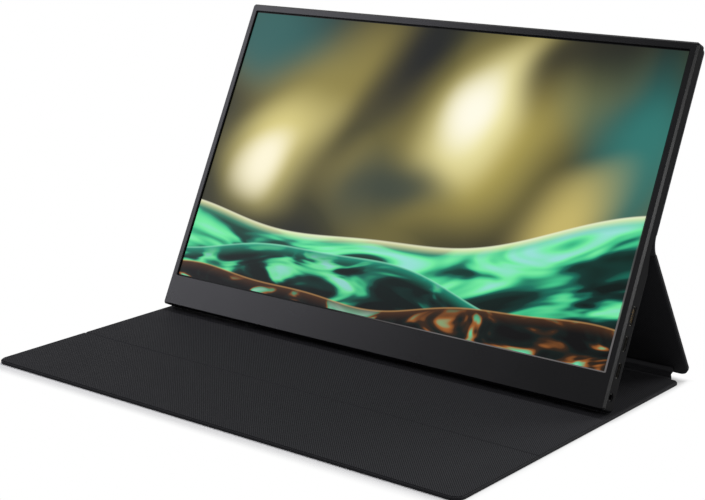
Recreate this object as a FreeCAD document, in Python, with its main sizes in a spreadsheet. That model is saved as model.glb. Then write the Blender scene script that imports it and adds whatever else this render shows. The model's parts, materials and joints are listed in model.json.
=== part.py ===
import FreeCAD, Part
import math
import os
import re
import Sketcher

# A portable monitor on its folio cover, folded into a stand.
# World frame: X to the right, Y to the back, Z up, with the table at Z = 0.
# The origin is under the middle of the flap.
# The monitor is drawn lying on its back: x across, y from its bottom edge up, z from its back to the screen.
# A cover panel is drawn the same way: y along the panel, z from its outer skin to its lining.

DRIVING = (
    # The screen and the narrow borders round it
    ("screen_width", 344.16, "lit picture across, 15.6 inch at 16 to 9"),
    ("screen_height", 193.59, "lit picture up"),
    ("side_bezel", 5.8, "border at the left and right"),
    ("top_bezel", 6.0, "border above the picture"),
    ("chin_height", 22.1, "border below the picture"),
    ("window_border", 0.8, "dark line between the picture and the bezel"),
    # The housing
    ("upper_thickness", 6.7, "front face to back, thin upper part"),
    ("lower_thickness", 11.0, "front face to back, thick lower part"),
    ("step_bottom", 79.0, "height where the back starts to slope in"),
    ("step_top", 94.0, "height where the slope ends"),
    ("corner_radius", 2.0, "corners of the monitor seen from the front"),
    ("edge_radius", 1.5, "rounding of the edge that the monitor stands on"),
    ("rim_chamfer", 1.2, "cut edge round the front"),
    ("parting_chamfer", 0.25, "groove between the bezel and the rear cover, each side"),
    ("wall", 1.2, "moulded wall of the rear cover"),
    ("bezel_depth", 2.0, "depth of the bezel's rim"),
    ("bezel_plate", 1.2, "thickness of the bezel's face"),
    ("window_chamfer", 0.4, "cut front edge of the picture window"),
    ("lip_thickness", 0.7, "lip of the bezel inside the rear cover"),
    ("lip_height", 1.4, "reach of that lip"),
    ("fit_gap", 0.2, "clearance between nested pieces"),
    # The display stack behind the window
    ("cell_thickness", 0.8, "glass cell"),
    ("cell_margin", 2.6, "cell past the picture"),
    ("cell_tail", 8.0, "cell below the picture"),
    ("film_thickness", 0.3, "diffuser and prism films"),
    ("guide_thickness", 0.5, "light guide"),
    ("reflector_thickness", 0.2, "reflector"),
    ("film_margin", 1.5, "films past the picture"),
    ("film_tail", 4.0, "films below the picture"),
    ("led_depth", 2.0, "lamp strip below the light guide"),
    ("tray_sheet", 0.3, "steel of the panel tray"),
    ("insulation_thickness", 0.2, "film behind the tray"),
    ("insulation_height", 74.0, "how far that film reaches up"),
    ("flex_thickness", 0.2, "flex tabs and ribbon"),
    ("flex_width", 24.0, "one flex tab"),
    ("flex_pitch", 56.0, "from one flex tab to the next"),
    ("driver_length", 210.0, "driver board across"),
    ("driver_height", 5.4, "driver board up"),
    ("driver_thickness", 0.8, "driver board"),
    ("driver_gap", 1.1, "driver board below the panel tray"),
    # The electronics in the thick lower part
    ("board_thickness", 1.0, "printed boards"),
    ("standoff", 1.8, "posts under the printed boards"),
    ("post_size", 4.0, "those posts, square"),
    ("board_left", 106.0, "main board's left edge"),
    ("board_low", 5.5, "main board's lower edge"),
    ("board_high", 70.0, "main board's upper edge"),
    ("chip_size", 20.0, "picture processor"),
    ("chip_height", 1.2, "packages on the main board"),
    ("small_chip", 6.0, "supply packages"),
    ("chip_gap", 1.0, "supply packages from the shield"),
    ("chip_pitch", 12.0, "from one supply package to the next"),
    ("shield_size", 30.0, "shield over the processor"),
    ("shield_height", 2.2, "that shield"),
    ("shield_sheet", 0.3, "its metal"),
    ("shield_x", 140.0, "centre of the shield"),
    ("shield_y", 46.0, "centre of the shield, up"),
    ("ribbon_width", 5.0, "panel ribbon"),
    ("ribbon_tail", 10.0, "its end on a board"),
    ("ribbon_setback", 2.4, "its turn, in from the main board's edge"),
    # Sockets on the right side
    ("hdmi_y", 56.8, "small video socket, height of its centre"),
    ("hdmi_width", 11.2, "its shell, up the side"),
    ("hdmi_height", 3.2, "its shell, through the thickness"),
    ("hdmi_corner", 0.8, "its shell's corners"),
    ("upper_usb_y", 40.3, "upper reversible socket"),
    ("lower_usb_y", 24.6, "lower reversible socket"),
    ("usb_width", 8.94, "reversible socket's shell, up the side"),
    ("usb_height", 3.16, "its shell, through the thickness"),
    ("flat_land", 0.1, "straight stretch of its rounded ends"),
    ("shell_sheet", 0.3, "metal of the socket shells"),
    ("socket_depth", 7.4, "length of the socket shells"),
    ("tongue_thickness", 0.7, "contact tongue"),
    ("tongue_length", 4.5, "contact tongue, along the socket"),
    ("tongue_side_gap", 0.9, "room beside the contact tongue"),
    ("socket_recess", 0.4, "mouths behind the side wall's face"),
    ("jack_y", 8.8, "audio jack, height of its centre"),
    ("jack_bore", 3.6, "audio jack's hole, diameter"),
    ("jack_ring", 4.6, "audio jack's collar, diameter"),
    ("jack_length", 14.0, "audio jack's body"),
    ("jack_width", 6.0, "audio jack's body, up the side"),
    ("jack_height", 4.6, "audio jack's body, through the thickness"),
    # Keys on the left side
    ("power_key_y", 58.0, "power key, height of its centre"),
    ("menu_up_key_y", 44.0, "upper menu key"),
    ("menu_down_key_y", 33.0, "lower menu key"),
    ("key_length", 8.4, "key cap, up the side"),
    ("key_width", 2.6, "key cap, through the thickness"),
    ("key_level", 5.4, "key centre above the back"),
    ("key_proud", 0.5, "key cap past the side wall"),
    ("key_rounding", 0.4, "soft edge of a key cap"),
    ("key_flange", 0.8, "flange that keeps a key in"),
    ("key_overlap", 0.9, "flange past the opening"),
    ("key_gap", 0.3, "running clearance round a key"),
    ("key_travel", 0.4, "press of a key"),
    ("stem_length", 1.7, "stem from the flange to the switch"),
    ("stem_width", 1.0, "that stem"),
    ("switch_size", 3.4, "key switch body"),
    ("switch_height", 2.2, "key switch above its board"),
    ("plunger", 0.6, "key switch plunger"),
    ("key_board_width", 9.0, "key board, across"),
    # Sound, magnets and screws
    ("speaker_x", 66.0, "speaker centre from the middle"),
    ("speaker_width", 40.0, "speaker, across"),
    ("speaker_low", 9.0, "speaker's lower edge"),
    ("speaker_height", 14.0, "speaker, up"),
    ("speaker_depth", 4.0, "speaker, through the thickness"),
    ("speaker_rim", 1.6, "speaker's frame round its cone"),
    ("slot_width", 1.2, "sound slots"),
    ("slot_pitch", 3.4, "from slot to slot"),
    ("slot_margin", 2.0, "slots inside the speaker's height"),
    ("keeper_length", 70.0, "steel strips that the magnets grip"),
    ("keeper_height", 14.0, "those strips, up"),
    ("keeper_sheet", 0.8, "their thickness"),
    ("keeper_x", 95.0, "their centres from the middle"),
    ("lower_keeper_y", 125.0, "lower pair, height"),
    ("upper_keeper_y", 203.0, "upper pair, height"),
    ("inner_screw_x", 30.0, "inner screws from the middle"),
    ("outer_screw_x", 98.0, "outer screws from the middle"),
    ("screw_y", 5.0, "screws above the bottom edge"),
    ("screw_radius", 1.0, "screw shank"),
    ("screw_length", 6.0, "screw shank"),
    ("head_radius", 1.9, "screw head"),
    ("head_height", 0.8, "screw head"),
    ("boss_radius", 2.6, "screw bosses"),
    ("boss_height", 1.2, "boss on the rear cover's floor"),
    ("screw_gap", 0.05, "clearance round a screw"),
    # The folio cover
    ("cover_thickness", 2.5, "one cover panel"),
    ("skin_thickness", 0.6, "outer skin"),
    ("lining_thickness", 0.5, "inner lining"),
    ("rim_width", 3.0, "turned rim of the skin round a board"),
    ("board_gap", 0.15, "clearance of a board in its skin"),
    ("cloth_thickness", 1.2, "hinge cloth, skin and lining together"),
    ("flap_width", 360.0, "flap across"),
    ("flap_depth", 226.0, "flap from its front edge to the spine hinge"),
    ("crease_setback", 71.9, "front edge to the crease"),
    ("crease_gap", 2.4, "boards apart at the crease"),
    ("flap_front_radius", 6.5, "front corners of the flap"),
    ("flap_rear_radius", 3.5, "rear corners of the flap"),
    ("spine_width", 346.0, "spine across, at the flap"),
    ("fold_width", 335.0, "spine across, at the lower fold"),
    ("spine_gap", 3.0, "boards apart at the spine hinge"),
    ("cover_play", 0.3, "room round the monitor in the closed cover"),
    ("edge_setback", 149.4, "flap's front edge to the monitor's standing edge"),
    ("hinge_arm", 97.3, "monitor's standing edge to the upper hinge, along its back"),
    ("hinge_reach", 7.0, "boards back from the upper hinge"),
    ("fold_radius", 3.0, "lower fold"),
    ("rest_lean", 26.27, "lean of the screen in the photo, degrees"),
    ("rest_gap", 0.3, "clearance between the monitor's edge and the flap"),
    ("stand_radius", 6.5, "lower corners of the stand"),
    ("stand_ear", 5.5, "stand's corners past the lower fold"),
    ("ear_gap", 0.5, "room between those corners and the fold"),
    ("back_radius", 4.0, "upper corners of the back panel"),
    ("seam_radius", 0.5, "panel corners at a hinge"),
    ("top_margin", 0.6, "back panel below the monitor's top edge"),
    ("magnet_plate_width", 300.0, "plate of magnets across"),
    ("magnet_plate_margin", 9.0, "plate inside the back panel's ends"),
    ("magnet_plate_thickness", 1.0, "plate of magnets"),
    ("magnet_length", 30.0, "closing magnets"),
    ("magnet_width", 8.0, "closing magnets"),
    ("magnet_thickness", 1.0, "closing magnets"),
    ("magnet_x", 120.0, "closing magnets from the middle"),
    ("magnet_setback", 6.0, "closing magnets behind the board's front edge"),
)

DERIVED = (
    ("monitor_width", "screen_width + 2 * side_bezel"),
    ("monitor_height", "chin_height + screen_height + top_bezel"),
    ("half_width", "monitor_width / 2"),
    ("inner_half", "half_width - wall"),
    ("screen_half", "screen_width / 2"),
    ("screen_top", "chin_height + screen_height"),
    ("upper_back", "lower_thickness - upper_thickness"),
    ("upper_floor", "upper_back + wall"),
    ("bezel_back", "lower_thickness - bezel_depth"),
    ("lip_outer", "inner_half - fit_gap"),
    ("lip_inner", "lip_outer - lip_thickness"),
    ("lip_inset", "wall + fit_gap"),
    ("lip_inner_inset", "lip_inset + lip_thickness"),
    ("lip_corner", "corner_radius - lip_inset / 2"),
    ("lip_inner_corner", "corner_radius - lip_inner_inset / 2"),
    ("cover_inner_corner", "corner_radius - wall"),
    ("cell_front", "lower_thickness - bezel_plate"),
    ("cell_back", "cell_front - cell_thickness"),
    ("cell_half", "screen_half + cell_margin"),
    ("cell_low", "chin_height - cell_tail"),
    ("cell_high", "screen_top + cell_margin"),
    ("film_half", "screen_half + film_margin"),
    ("film_low", "chin_height - film_tail"),
    ("film_high", "screen_top + film_margin"),
    ("film_back", "cell_back - film_thickness"),
    ("guide_back", "film_back - guide_thickness"),
    ("reflector_back", "guide_back - reflector_thickness"),
    ("tray_back", "reflector_back - tray_sheet"),
    ("tray_half", "cell_half + tray_sheet"),
    ("tray_low", "cell_low + tray_sheet"),
    ("flex_back", "cell_back - flex_thickness"),
    ("driver_back", "flex_back - driver_thickness"),
    ("driver_high", "tray_low - driver_gap"),
    ("driver_low", "driver_high - driver_height"),
    ("board_back", "wall + standoff"),
    ("board_front", "board_back + board_thickness"),
    ("board_right", "inner_half - 2 * fit_gap"),
    ("socket_x", "half_width - socket_recess"),
    ("usb_corner", "(usb_height - flat_land) / 2"),
    ("jack_face", "socket_recess - wall - 2 * fit_gap"),
    ("key_inside", "half_width - wall - key_gap"),
    ("key_board_left", "key_inside - key_flange - key_travel - key_gap"),
    ("switch_left", "key_inside - key_flange - stem_length - key_travel - key_gap - plunger"),
    ("boss_top", "wall + boss_height"),
    ("head_seat", "wall - head_height / 2"),
    ("hinge_height", "edge_radius + hinge_arm"),
    ("spine_pitch", "lower_thickness + cover_thickness + 2 * cover_play"),
    ("spine_hinge_y", "flap_depth / 2"),
    ("foot_y", "spine_hinge_y + spine_pitch"),
    ("foot_z", "cover_thickness + rest_gap + edge_radius"),
    ("edge_y", "edge_setback - flap_depth / 2"),
    ("hinge_level", "upper_back - cover_thickness / 2"),
    ("hinge_offset", "hinge_level - edge_radius"),
    ("upper_hinge_y", "edge_y + hinge_arm * sin(rest_lean) - hinge_offset * cos(rest_lean)"),
    ("upper_hinge_z", "foot_z + hinge_arm * cos(rest_lean) + hinge_offset * sin(rest_lean)"),
    ("stand_slope", "(foot_y - upper_hinge_y) / (upper_hinge_z - foot_z)"),
    ("stand_lean", "atan(stand_slope) / 1 deg"),
    ("stand_arm", "(upper_hinge_z - foot_z) / cos(stand_lean)"),
    ("monitor_y", "edge_y - edge_radius * (sin(rest_lean) - cos(rest_lean))"),
    ("monitor_z", "foot_z - edge_radius * (sin(rest_lean) + cos(rest_lean))"),
    ("crease_y", "crease_setback - flap_depth / 2"),
    ("fold_turn", "90 + stand_lean"),
    ("fold_tangent", "fold_radius * tan(fold_turn / 2)"),
    ("fold_corner_y", "foot_y + (foot_z - cover_thickness / 2) * tan(stand_lean)"),
    ("fold_y", "fold_corner_y - fold_tangent"),
    ("stand_start", "fold_tangent - (foot_z - cover_thickness / 2) / cos(stand_lean)"),
    ("bend_turn", "rest_lean + stand_lean"),
    ("bend_radius", "hinge_reach / tan(bend_turn / 2)"),
    ("back_panel_low", "hinge_height + hinge_reach"),
    ("back_panel_skin_level", "upper_back - cover_thickness"),
    ("core_thickness", "cover_thickness - skin_thickness - lining_thickness"),
)

DRIVING_NAMES = {name for name, number, note in DRIVING}
DERIVED_NAMES = {name for name, formula in DERIVED}

doc = FreeCAD.newDocument("portable_monitor")
sizes = doc.addObject("Spreadsheet::Sheet", "sizes")
fits = doc.addObject("Spreadsheet::Sheet", "fits")


def bound(text):
    """Turns size names in a formula into references to the two sheets."""

    def reference(match):
        word = match.group(0)
        if word in DRIVING_NAMES:
            return "sizes." + word
        if word in DERIVED_NAMES:
            return "fits." + word
        return word

    return re.sub(r"[a-z][a-z_]*", reference, str(text))


for row, (name, number, note) in enumerate(DRIVING, 1):
    sizes.set(f"A{row}", name)
    sizes.set(f"B{row}", str(number))
    sizes.set(f"C{row}", note)
    sizes.setAlias(f"B{row}", name)
for row, (name, formula) in enumerate(DERIVED, 1):
    fits.set(f"A{row}", name)
    fits.setAlias(f"B{row}", name)
    fits.set(f"B{row}", "=" + bound(formula))
doc.recompute()


def value(name):
    """The present number of a driving or derived size."""
    sheet = sizes if name in DRIVING_NAMES else fits
    return float(sheet.get(name))


# Placements of the monitor, the ports and the cover panels

X_AXIS = FreeCAD.Vector(1, 0, 0)
SIDEWAYS = FreeCAD.Rotation(FreeCAD.Vector(0, 1, 0), FreeCAD.Vector(0, 0, 1), X_AXIS, "ZXY")


def moved(x, y, z):
    """A shift without a turn."""
    return FreeCAD.Placement(FreeCAD.Vector(x, y, z), FreeCAD.Rotation())


def leaning(y, z, degrees):
    """A frame at (0, y, z) whose y axis is raised by an angle from the table."""
    return FreeCAD.Placement(FreeCAD.Vector(0, y, z), FreeCAD.Rotation(X_AXIS, degrees))


LEAN = value("rest_lean")
TABLE = moved(0, 0, 0)
MONITOR = leaning(value("monitor_y"), value("monitor_z"), 90 - LEAN)
STAND_LEAN = value("stand_lean")
STAND = leaning(value("foot_y"), value("foot_z"), 90 + STAND_LEAN)


def on_right_side(height, level):
    """A socket's frame: its z axis leaves the right side, its x axis points up the monitor."""
    seat = FreeCAD.Placement(FreeCAD.Vector(value("socket_x"), height, level), SIDEWAYS)
    return MONITOR.multiply(seat)


def across(y, z, start_degrees):
    """A frame whose z axis runs across the cover and whose x axis starts at an angle from the table."""
    turn = FreeCAD.Rotation(X_AXIS, start_degrees).multiply(SIDEWAYS)
    return FreeCAD.Placement(FreeCAD.Vector(-value("monitor_width") / 2, y, z), turn)


# Drawing helpers

nodes = []


def new_body(label, placement, several=False):
    """Starts a sub-part; several allows separate solids in one group of like pieces."""
    body = doc.addObject("PartDesign::Body", label)
    body.Label = label
    body.AllowCompound = several
    body.Placement = placement
    nodes.append(body)
    return body


def plane(body, role):
    """One of the body's own origin planes or axes."""
    return next(f for f in body.Origin.OriginFeatures if f.Role == role)


def new_sketch(body, name, level, role="XY_Plane"):
    """A sketch at a level above one of the body's origin planes."""
    sketch = body.newObject("Sketcher::SketchObject", name)
    sketch.AttachmentSupport = [(plane(body, role), "")]
    sketch.MapMode = "FlatFace"
    sketch.setExpression("AttachmentOffset.Base.z", bound(level))
    return sketch


def hold(sketch, kind, first, first_point, formula, second=None, second_point=None):
    """Adds a sized constraint whose size is a formula."""
    target = (first, first_point)
    if second is not None:
        target = (first, first_point, second, second_point)
    if first_point is None:
        target = (first,)
    number = sketch.addConstraint(Sketcher.Constraint(kind, *target, rough(formula)))
    sketch.setExpression(f"Constraints[{number}]", bound(formula))


def rough(formula):
    """A formula's present number, for a first guess of a sketch point."""
    return float(fits.evalExpression(bound(formula)))


def rounded(left, right, low, high, low_radius, high_radius):
    """A rectangle with rounded corners, as a function that draws it."""

    def draw(sketch):
        u0, u1, v0, v1 = (rough(f) for f in (left, right, low, high))
        r0, r1 = rough(low_radius), rough(high_radius)
        first = sketch.GeometryCount
        quarter = math.pi / 2
        centres = (
            (u0 + r0, v0 + r0, r0, 2),
            (u1 - r0, v0 + r0, r0, 3),
            (u1 - r1, v1 - r1, r1, 0),
            (u0 + r1, v1 - r1, r1, 1),
        )
        for u, v, radius, corner in centres:
            circle = Part.Circle(FreeCAD.Vector(u, v, 0), FreeCAD.Vector(0, 0, 1), radius)
            sketch.addGeometry(Part.ArcOfCircle(circle, corner * quarter, (corner + 1) * quarter), False)
        sides = (
            ((u0 + r0, v0), (u1 - r0, v0)),
            ((u1, v0 + r0), (u1, v1 - r1)),
            ((u1 - r1, v1), (u0 + r1, v1)),
            ((u0, v1 - r1), (u0, v0 + r0)),
        )
        for start, end in sides:
            line = Part.LineSegment(FreeCAD.Vector(*start, 0), FreeCAD.Vector(*end, 0))
            sketch.addGeometry(line, False)
        for side in range(4):
            line = first + 4 + side
            sketch.addConstraint(Sketcher.Constraint("Tangent", first + side, 2, line, 1))
            sketch.addConstraint(Sketcher.Constraint("Tangent", line, 2, first + (side + 1) % 4, 1))
        for side, kind in enumerate(("Horizontal", "Vertical", "Horizontal", "Vertical")):
            sketch.addConstraint(Sketcher.Constraint(kind, first + 4 + side))
        sketch.addConstraint(Sketcher.Constraint("Equal", first, first + 1))
        sketch.addConstraint(Sketcher.Constraint("Equal", first + 2, first + 3))
        hold(sketch, "Radius", first, None, low_radius)
        hold(sketch, "Radius", first + 2, None, high_radius)
        hold(sketch, "DistanceY", -1, 1, low, first + 4, 1)
        hold(sketch, "DistanceX", -1, 1, right, first + 5, 1)
        hold(sketch, "DistanceY", -1, 1, high, first + 6, 1)
        hold(sketch, "DistanceX", -1, 1, left, first + 7, 1)

    return draw


def polygon(*corners):
    """Straight lines through corners, as a function that draws them."""

    def draw(sketch):
        first = sketch.GeometryCount
        points = [FreeCAD.Vector(rough(u), rough(v), 0) for u, v in corners]
        count = len(points)
        for index in range(count):
            sketch.addGeometry(Part.LineSegment(points[index], points[(index + 1) % count]), False)
        for index, (u, v) in enumerate(corners):
            line = first + index
            after = first + (index + 1) % count
            sketch.addConstraint(Sketcher.Constraint("Coincident", line, 2, after, 1))
            hold(sketch, "DistanceX", -1, 1, u, line, 1)
            hold(sketch, "DistanceY", -1, 1, v, line, 1)

    return draw


def pad(body, name, outlines, low, high):
    """Fills outlines from a low level up to a high one; a second outline is a hole."""
    sketch = new_sketch(body, name + "_outline", low)
    for draw in outlines:
        draw(sketch)
    feature = body.newObject("PartDesign::Pad", name)
    feature.Profile = sketch
    feature.setExpression("Length", bound(f"({high}) - ({low})"))
    return feature


def pocket(body, name, outlines, low, high, role="XY_Plane"):
    """Cuts outlines from a high level down to a low one."""
    doc.recompute()
    before = body.Shape.Volume
    sketch = new_sketch(body, name + "_outline", high, role)
    for draw in outlines:
        draw(sketch)
    feature = body.newObject("PartDesign::Pocket", name)
    feature.Profile = sketch
    feature.setExpression("Length", bound(f"({high}) - ({low})"))
    doc.recompute()
    if not body.Shape.Volume < before:
        raise RuntimeError(f"{body.Label}: {name} cut nothing")
    return feature


def block(body, name, low, high, cut=False):
    """A box between two corners, added or cut."""
    kind = "PartDesign::SubtractiveBox" if cut else "PartDesign::AdditiveBox"
    feature = body.newObject(kind, name)
    for side, axis, near, far in zip(("Length", "Width", "Height"), "xyz", low, high):
        feature.setExpression(side, bound(f"({far}) - ({near})"))
        feature.setExpression(f"Placement.Base.{axis}", bound(near))
    return feature


def rod(body, name, base, radius, length, cut=False, sideways=False):
    """A cylinder that stands on its base point, along z or along x, added or cut."""
    kind = "PartDesign::SubtractiveCylinder" if cut else "PartDesign::AdditiveCylinder"
    feature = body.newObject(kind, name)
    if sideways:
        feature.Placement = FreeCAD.Placement(FreeCAD.Vector(), SIDEWAYS)
    feature.setExpression("Radius", bound(radius))
    feature.setExpression("Height", bound(length))
    for axis, place in zip("xyz", base):
        feature.setExpression(f"Placement.Base.{axis}", bound(place))
    return feature


def repeat(body, name, original, count, pitch):
    """Copies a feature across the body at a pitch."""
    feature = body.newObject("PartDesign::LinearPattern", name)
    feature.Originals = [original]
    feature.Direction = (plane(body, "X_Axis"), [""])
    feature.Occurrences = count
    feature.setExpression("Length", bound(f"({count} - 1) * ({pitch})"))
    body.Tip = feature
    return feature


def edges_where(body, test):
    """Names of the tip's edges whose middle point passes a test."""
    doc.recompute()
    found = []
    for number, edge in enumerate(body.Tip.Shape.Edges, 1):
        middle = edge.valueAt((edge.FirstParameter + edge.LastParameter) / 2)
        if test(middle, edge):
            found.append(f"Edge{number}")
    return found


def dress(body, kind, name, test, dimension, formula):
    """Rounds or chamfers the edges that pass a test."""
    names = edges_where(body, test)
    base = body.Tip
    feature = body.newObject("PartDesign::" + kind, name)
    feature.Base = (base, names)
    feature.setExpression(dimension, bound(formula))
    body.Tip = feature
    return feature


SLACK = 0.01
UPRIGHT_SHARE = 0.9


def near(number, name):
    """Whether a coordinate lies at a named size."""
    return abs(number - value(name)) < SLACK


def upright(point, edge):
    """Whether an edge runs along z."""
    return abs(edge.tangentAt(edge.FirstParameter).z) > UPRIGHT_SHARE


# Housing


def front_bezel():
    """Moulded frame: chamfered rim, picture window, lip into the rear cover and screw bosses."""
    body = new_body("front_bezel", MONITOR)
    corner = "corner_radius"
    whole = rounded("-half_width", "half_width", "0", "monitor_height", corner, corner)
    pad(body, "face", [whole], "bezel_back", "lower_thickness")
    dress(body, "Chamfer", "rim", lambda p, e: near(p.z, "lower_thickness"), "Size", "rim_chamfer")
    dress(body, "Chamfer", "parting", lambda p, e: near(p.z, "bezel_back"), "Size", "parting_chamfer")
    window = rounded(
        "-screen_half - window_border",
        "screen_half + window_border",
        "chin_height - window_border",
        "screen_top + window_border",
        "window_border",
        "window_border",
    )
    pocket(body, "window", [window], "bezel_back", "lower_thickness")
    reach = 2 * value("window_border")

    def window_edge(point, edge):
        across_it = abs(point.x) < value("screen_half") + reach
        up_it = value("chin_height") - reach < point.y < value("screen_top") + reach
        return near(point.z, "lower_thickness") and across_it and up_it

    dress(body, "Chamfer", "window_edge", window_edge, "Size", "window_chamfer")
    inner = rounded(
        "-lip_inner",
        "lip_inner",
        "lip_inner_inset",
        "monitor_height - lip_inner_inset",
        "lip_inner_corner",
        "lip_inner_corner",
    )
    pocket(body, "hollow", [inner], "bezel_back", "cell_front")
    outer = rounded(
        "-lip_outer",
        "lip_outer",
        "lip_inset",
        "monitor_height - lip_inset",
        "lip_corner",
        "lip_corner",
    )
    pad(body, "lip", [outer, inner], "bezel_back - lip_height", "bezel_back")
    notch = "jack_width / 2 + 2 * fit_gap"
    block(
        body,
        "jack_notch",
        ("lip_inner - fit_gap", f"jack_y - ({notch})", "bezel_back - lip_height"),
        ("lip_outer + fit_gap", f"jack_y + ({notch})", "bezel_back"),
        cut=True,
    )
    for side in ("-inner_screw_x", "inner_screw_x", "-outer_screw_x", "outer_screw_x"):
        tag = side.replace("-", "minus_")
        rod(body, "boss_" + tag, (side, "screw_y", "boss_top"), "boss_radius", "cell_front - boss_top")
        pilot = (side, "screw_y", "boss_top")
        rod(body, "pilot_" + tag, pilot, "screw_radius + screw_gap", "screw_length", cut=True)


def rear_cover():
    """Moulded tray, thin above and thick below, open at its sockets, keys, sound slots and screws."""
    body = new_body("rear_cover", MONITOR)
    corner = "corner_radius"
    whole = rounded("-half_width", "half_width", "0", "monitor_height", corner, corner)
    pad(body, "shell", [whole], "0", "bezel_back")
    dress(body, "Chamfer", "parting", lambda p, e: near(p.z, "bezel_back"), "Size", "parting_chamfer")
    step = polygon(
        ("step_bottom", "0"),
        ("step_top", "upper_back"),
        ("monitor_height + wall", "upper_back"),
        ("monitor_height + wall", "-wall"),
        ("step_bottom", "-wall"),
    )
    pocket(body, "step", [step], "-half_width - wall", "half_width + wall", role="YZ_Plane")

    def foot_edge(point, edge):
        return abs(point.z) < SLACK and point.y < value("step_bottom") - SLACK

    dress(body, "Fillet", "foot", foot_edge, "Radius", "edge_radius")
    inside = "cover_inner_corner"
    upper = rounded("-inner_half", "inner_half", "wall", "monitor_height - wall", inside, inside)
    pocket(body, "upper_hollow", [upper], "upper_floor", "bezel_back")
    lower = rounded("-inner_half", "inner_half", "wall", "step_bottom", inside, inside)
    pocket(body, "lower_hollow", [lower], "wall", "upper_floor")
    sockets_in_wall(body)
    keys_in_wall(body)
    sound_slots(body)
    posts_and_screw_seats(body)


def sockets_in_wall(body):
    """Openings in the right wall, one clearance larger than the sockets."""
    rows = (
        ("hdmi", "hdmi_y", "hdmi_width", "hdmi_height", "hdmi_corner"),
        ("upper_usb", "upper_usb_y", "usb_width", "usb_height", "usb_corner"),
        ("lower_usb", "lower_usb_y", "usb_width", "usb_height", "usb_corner"),
    )
    for name, centre, width, height, corner in rows:
        radius = f"{corner} + fit_gap"
        opening = rounded(
            f"{centre} - {width} / 2 - fit_gap",
            f"{centre} + {width} / 2 + fit_gap",
            "board_front - fit_gap",
            f"board_front + {height} + fit_gap",
            radius,
            radius,
        )
        start, end = "inner_half - wall", "half_width + wall"
        pocket(body, name + "_opening", [opening], start, end, role="YZ_Plane")
    centre = ("inner_half - wall", "jack_y", "board_front + jack_height / 2")
    rod(body, "jack_opening", centre, "jack_ring / 2 + fit_gap", "3 * wall", cut=True, sideways=True)


KEYS = ("power", "menu_up", "menu_down")


def keys_in_wall(body):
    """Openings in the left wall for the three keys."""
    for key in KEYS:
        height = key + "_key_y"
        reach = "key_length / 2 + key_gap"
        span = "key_width / 2 + key_gap"
        block(
            body,
            key + "_opening",
            ("-half_width - wall", f"{height} - ({reach})", f"key_level - ({span})"),
            ("-inner_half + wall", f"{height} + ({reach})", f"key_level + ({span})"),
            cut=True,
        )


SLOTS_PER_SPEAKER = 10


def sound_slots(body):
    """Slots through the back, behind each speaker."""
    for side in ("-", ""):
        name = "left" if side else "right"
        first = f"{side}speaker_x - ({SLOTS_PER_SPEAKER} - 1) / 2 * slot_pitch - slot_width / 2"
        slot = block(
            body,
            name + "_slot",
            (first, "speaker_low + slot_margin", "-wall"),
            (f"{first} + slot_width", "speaker_low + speaker_height - slot_margin", "wall"),
            cut=True,
        )
        repeat(body, name + "_slots", slot, SLOTS_PER_SPEAKER, "slot_pitch")


def posts_and_screw_seats(body):
    """Posts under the boards, and a boss with a sunk seat for each screw."""
    reach = "post_size / 2 + 2 * fit_gap"
    posts = (
        (f"board_left + {reach}", f"board_low + {reach}"),
        (f"board_left + {reach}", f"board_high - ({reach})"),
        (f"board_right - 4 * ({reach})", f"board_high - ({reach})"),
        ("-key_board_left + key_board_width / 2", "(menu_up_key_y + power_key_y) / 2"),
        ("-key_board_left + key_board_width / 2", "(menu_up_key_y + menu_down_key_y) / 2"),
    )
    for number, (x, y) in enumerate(posts, 1):
        low = (f"{x} - post_size / 2", f"{y} - post_size / 2", "wall / 2")
        high = (f"{x} + post_size / 2", f"{y} + post_size / 2", "wall + standoff")
        block(body, f"post_{number}", low, high)
    for side in ("-inner_screw_x", "inner_screw_x", "-outer_screw_x", "outer_screw_x"):
        tag = side.replace("-", "minus_")
        rod(body, "boss_" + tag, (side, "screw_y", "wall / 2"), "boss_radius", "boss_height + wall / 2")
        hole = (side, "screw_y", "-wall")
        rod(body, "hole_" + tag, hole, "screw_radius + screw_gap", "boss_top + 2 * wall", cut=True)
        depth = "head_seat + head_height + wall"
        rod(body, "seat_" + tag, hole, "head_radius + screw_gap", depth, cut=True)


# Display stack


def slab(label, left, right, low, high, back, front):
    """A flat sheet of the display stack."""
    body = new_body(label, MONITOR)
    block(body, "sheet", (left, low, back), (right, high, front))
    return body


def display_stack():
    """Cell, films, light guide, reflector, lamps, tray and the film behind it, face to face."""
    slab("lcd_cell", "-cell_half", "cell_half", "cell_low", "cell_high", "cell_back", "cell_front")
    film = ("-film_half", "film_half", "film_low", "film_high")
    slab("optical_films", *film, "film_back", "cell_back")
    slab("light_guide", *film, "guide_back", "film_back")
    slab("reflector_sheet", *film, "reflector_back", "guide_back")
    lamps = ("-screen_half", "screen_half", "film_low - led_depth", "film_low")
    slab("led_bar", *lamps, "guide_back", "film_back")
    tray = new_body("panel_tray", MONITOR)
    high = "cell_high + tray_sheet"
    block(tray, "sheet", ("-tray_half", "tray_low", "tray_back"), ("tray_half", high, "cell_back"))
    block(
        tray,
        "hollow",
        ("-tray_half + tray_sheet", "tray_low + tray_sheet", "reflector_back"),
        ("tray_half - tray_sheet", f"{high} - tray_sheet", "cell_back + tray_sheet"),
        cut=True,
    )
    sheet = ("-screen_half", "screen_half", "film_low", "film_low + insulation_height")
    slab("insulating_sheet", *sheet, "tray_back - insulation_thickness", "tray_back")


FLEX_TABS = 4


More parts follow.
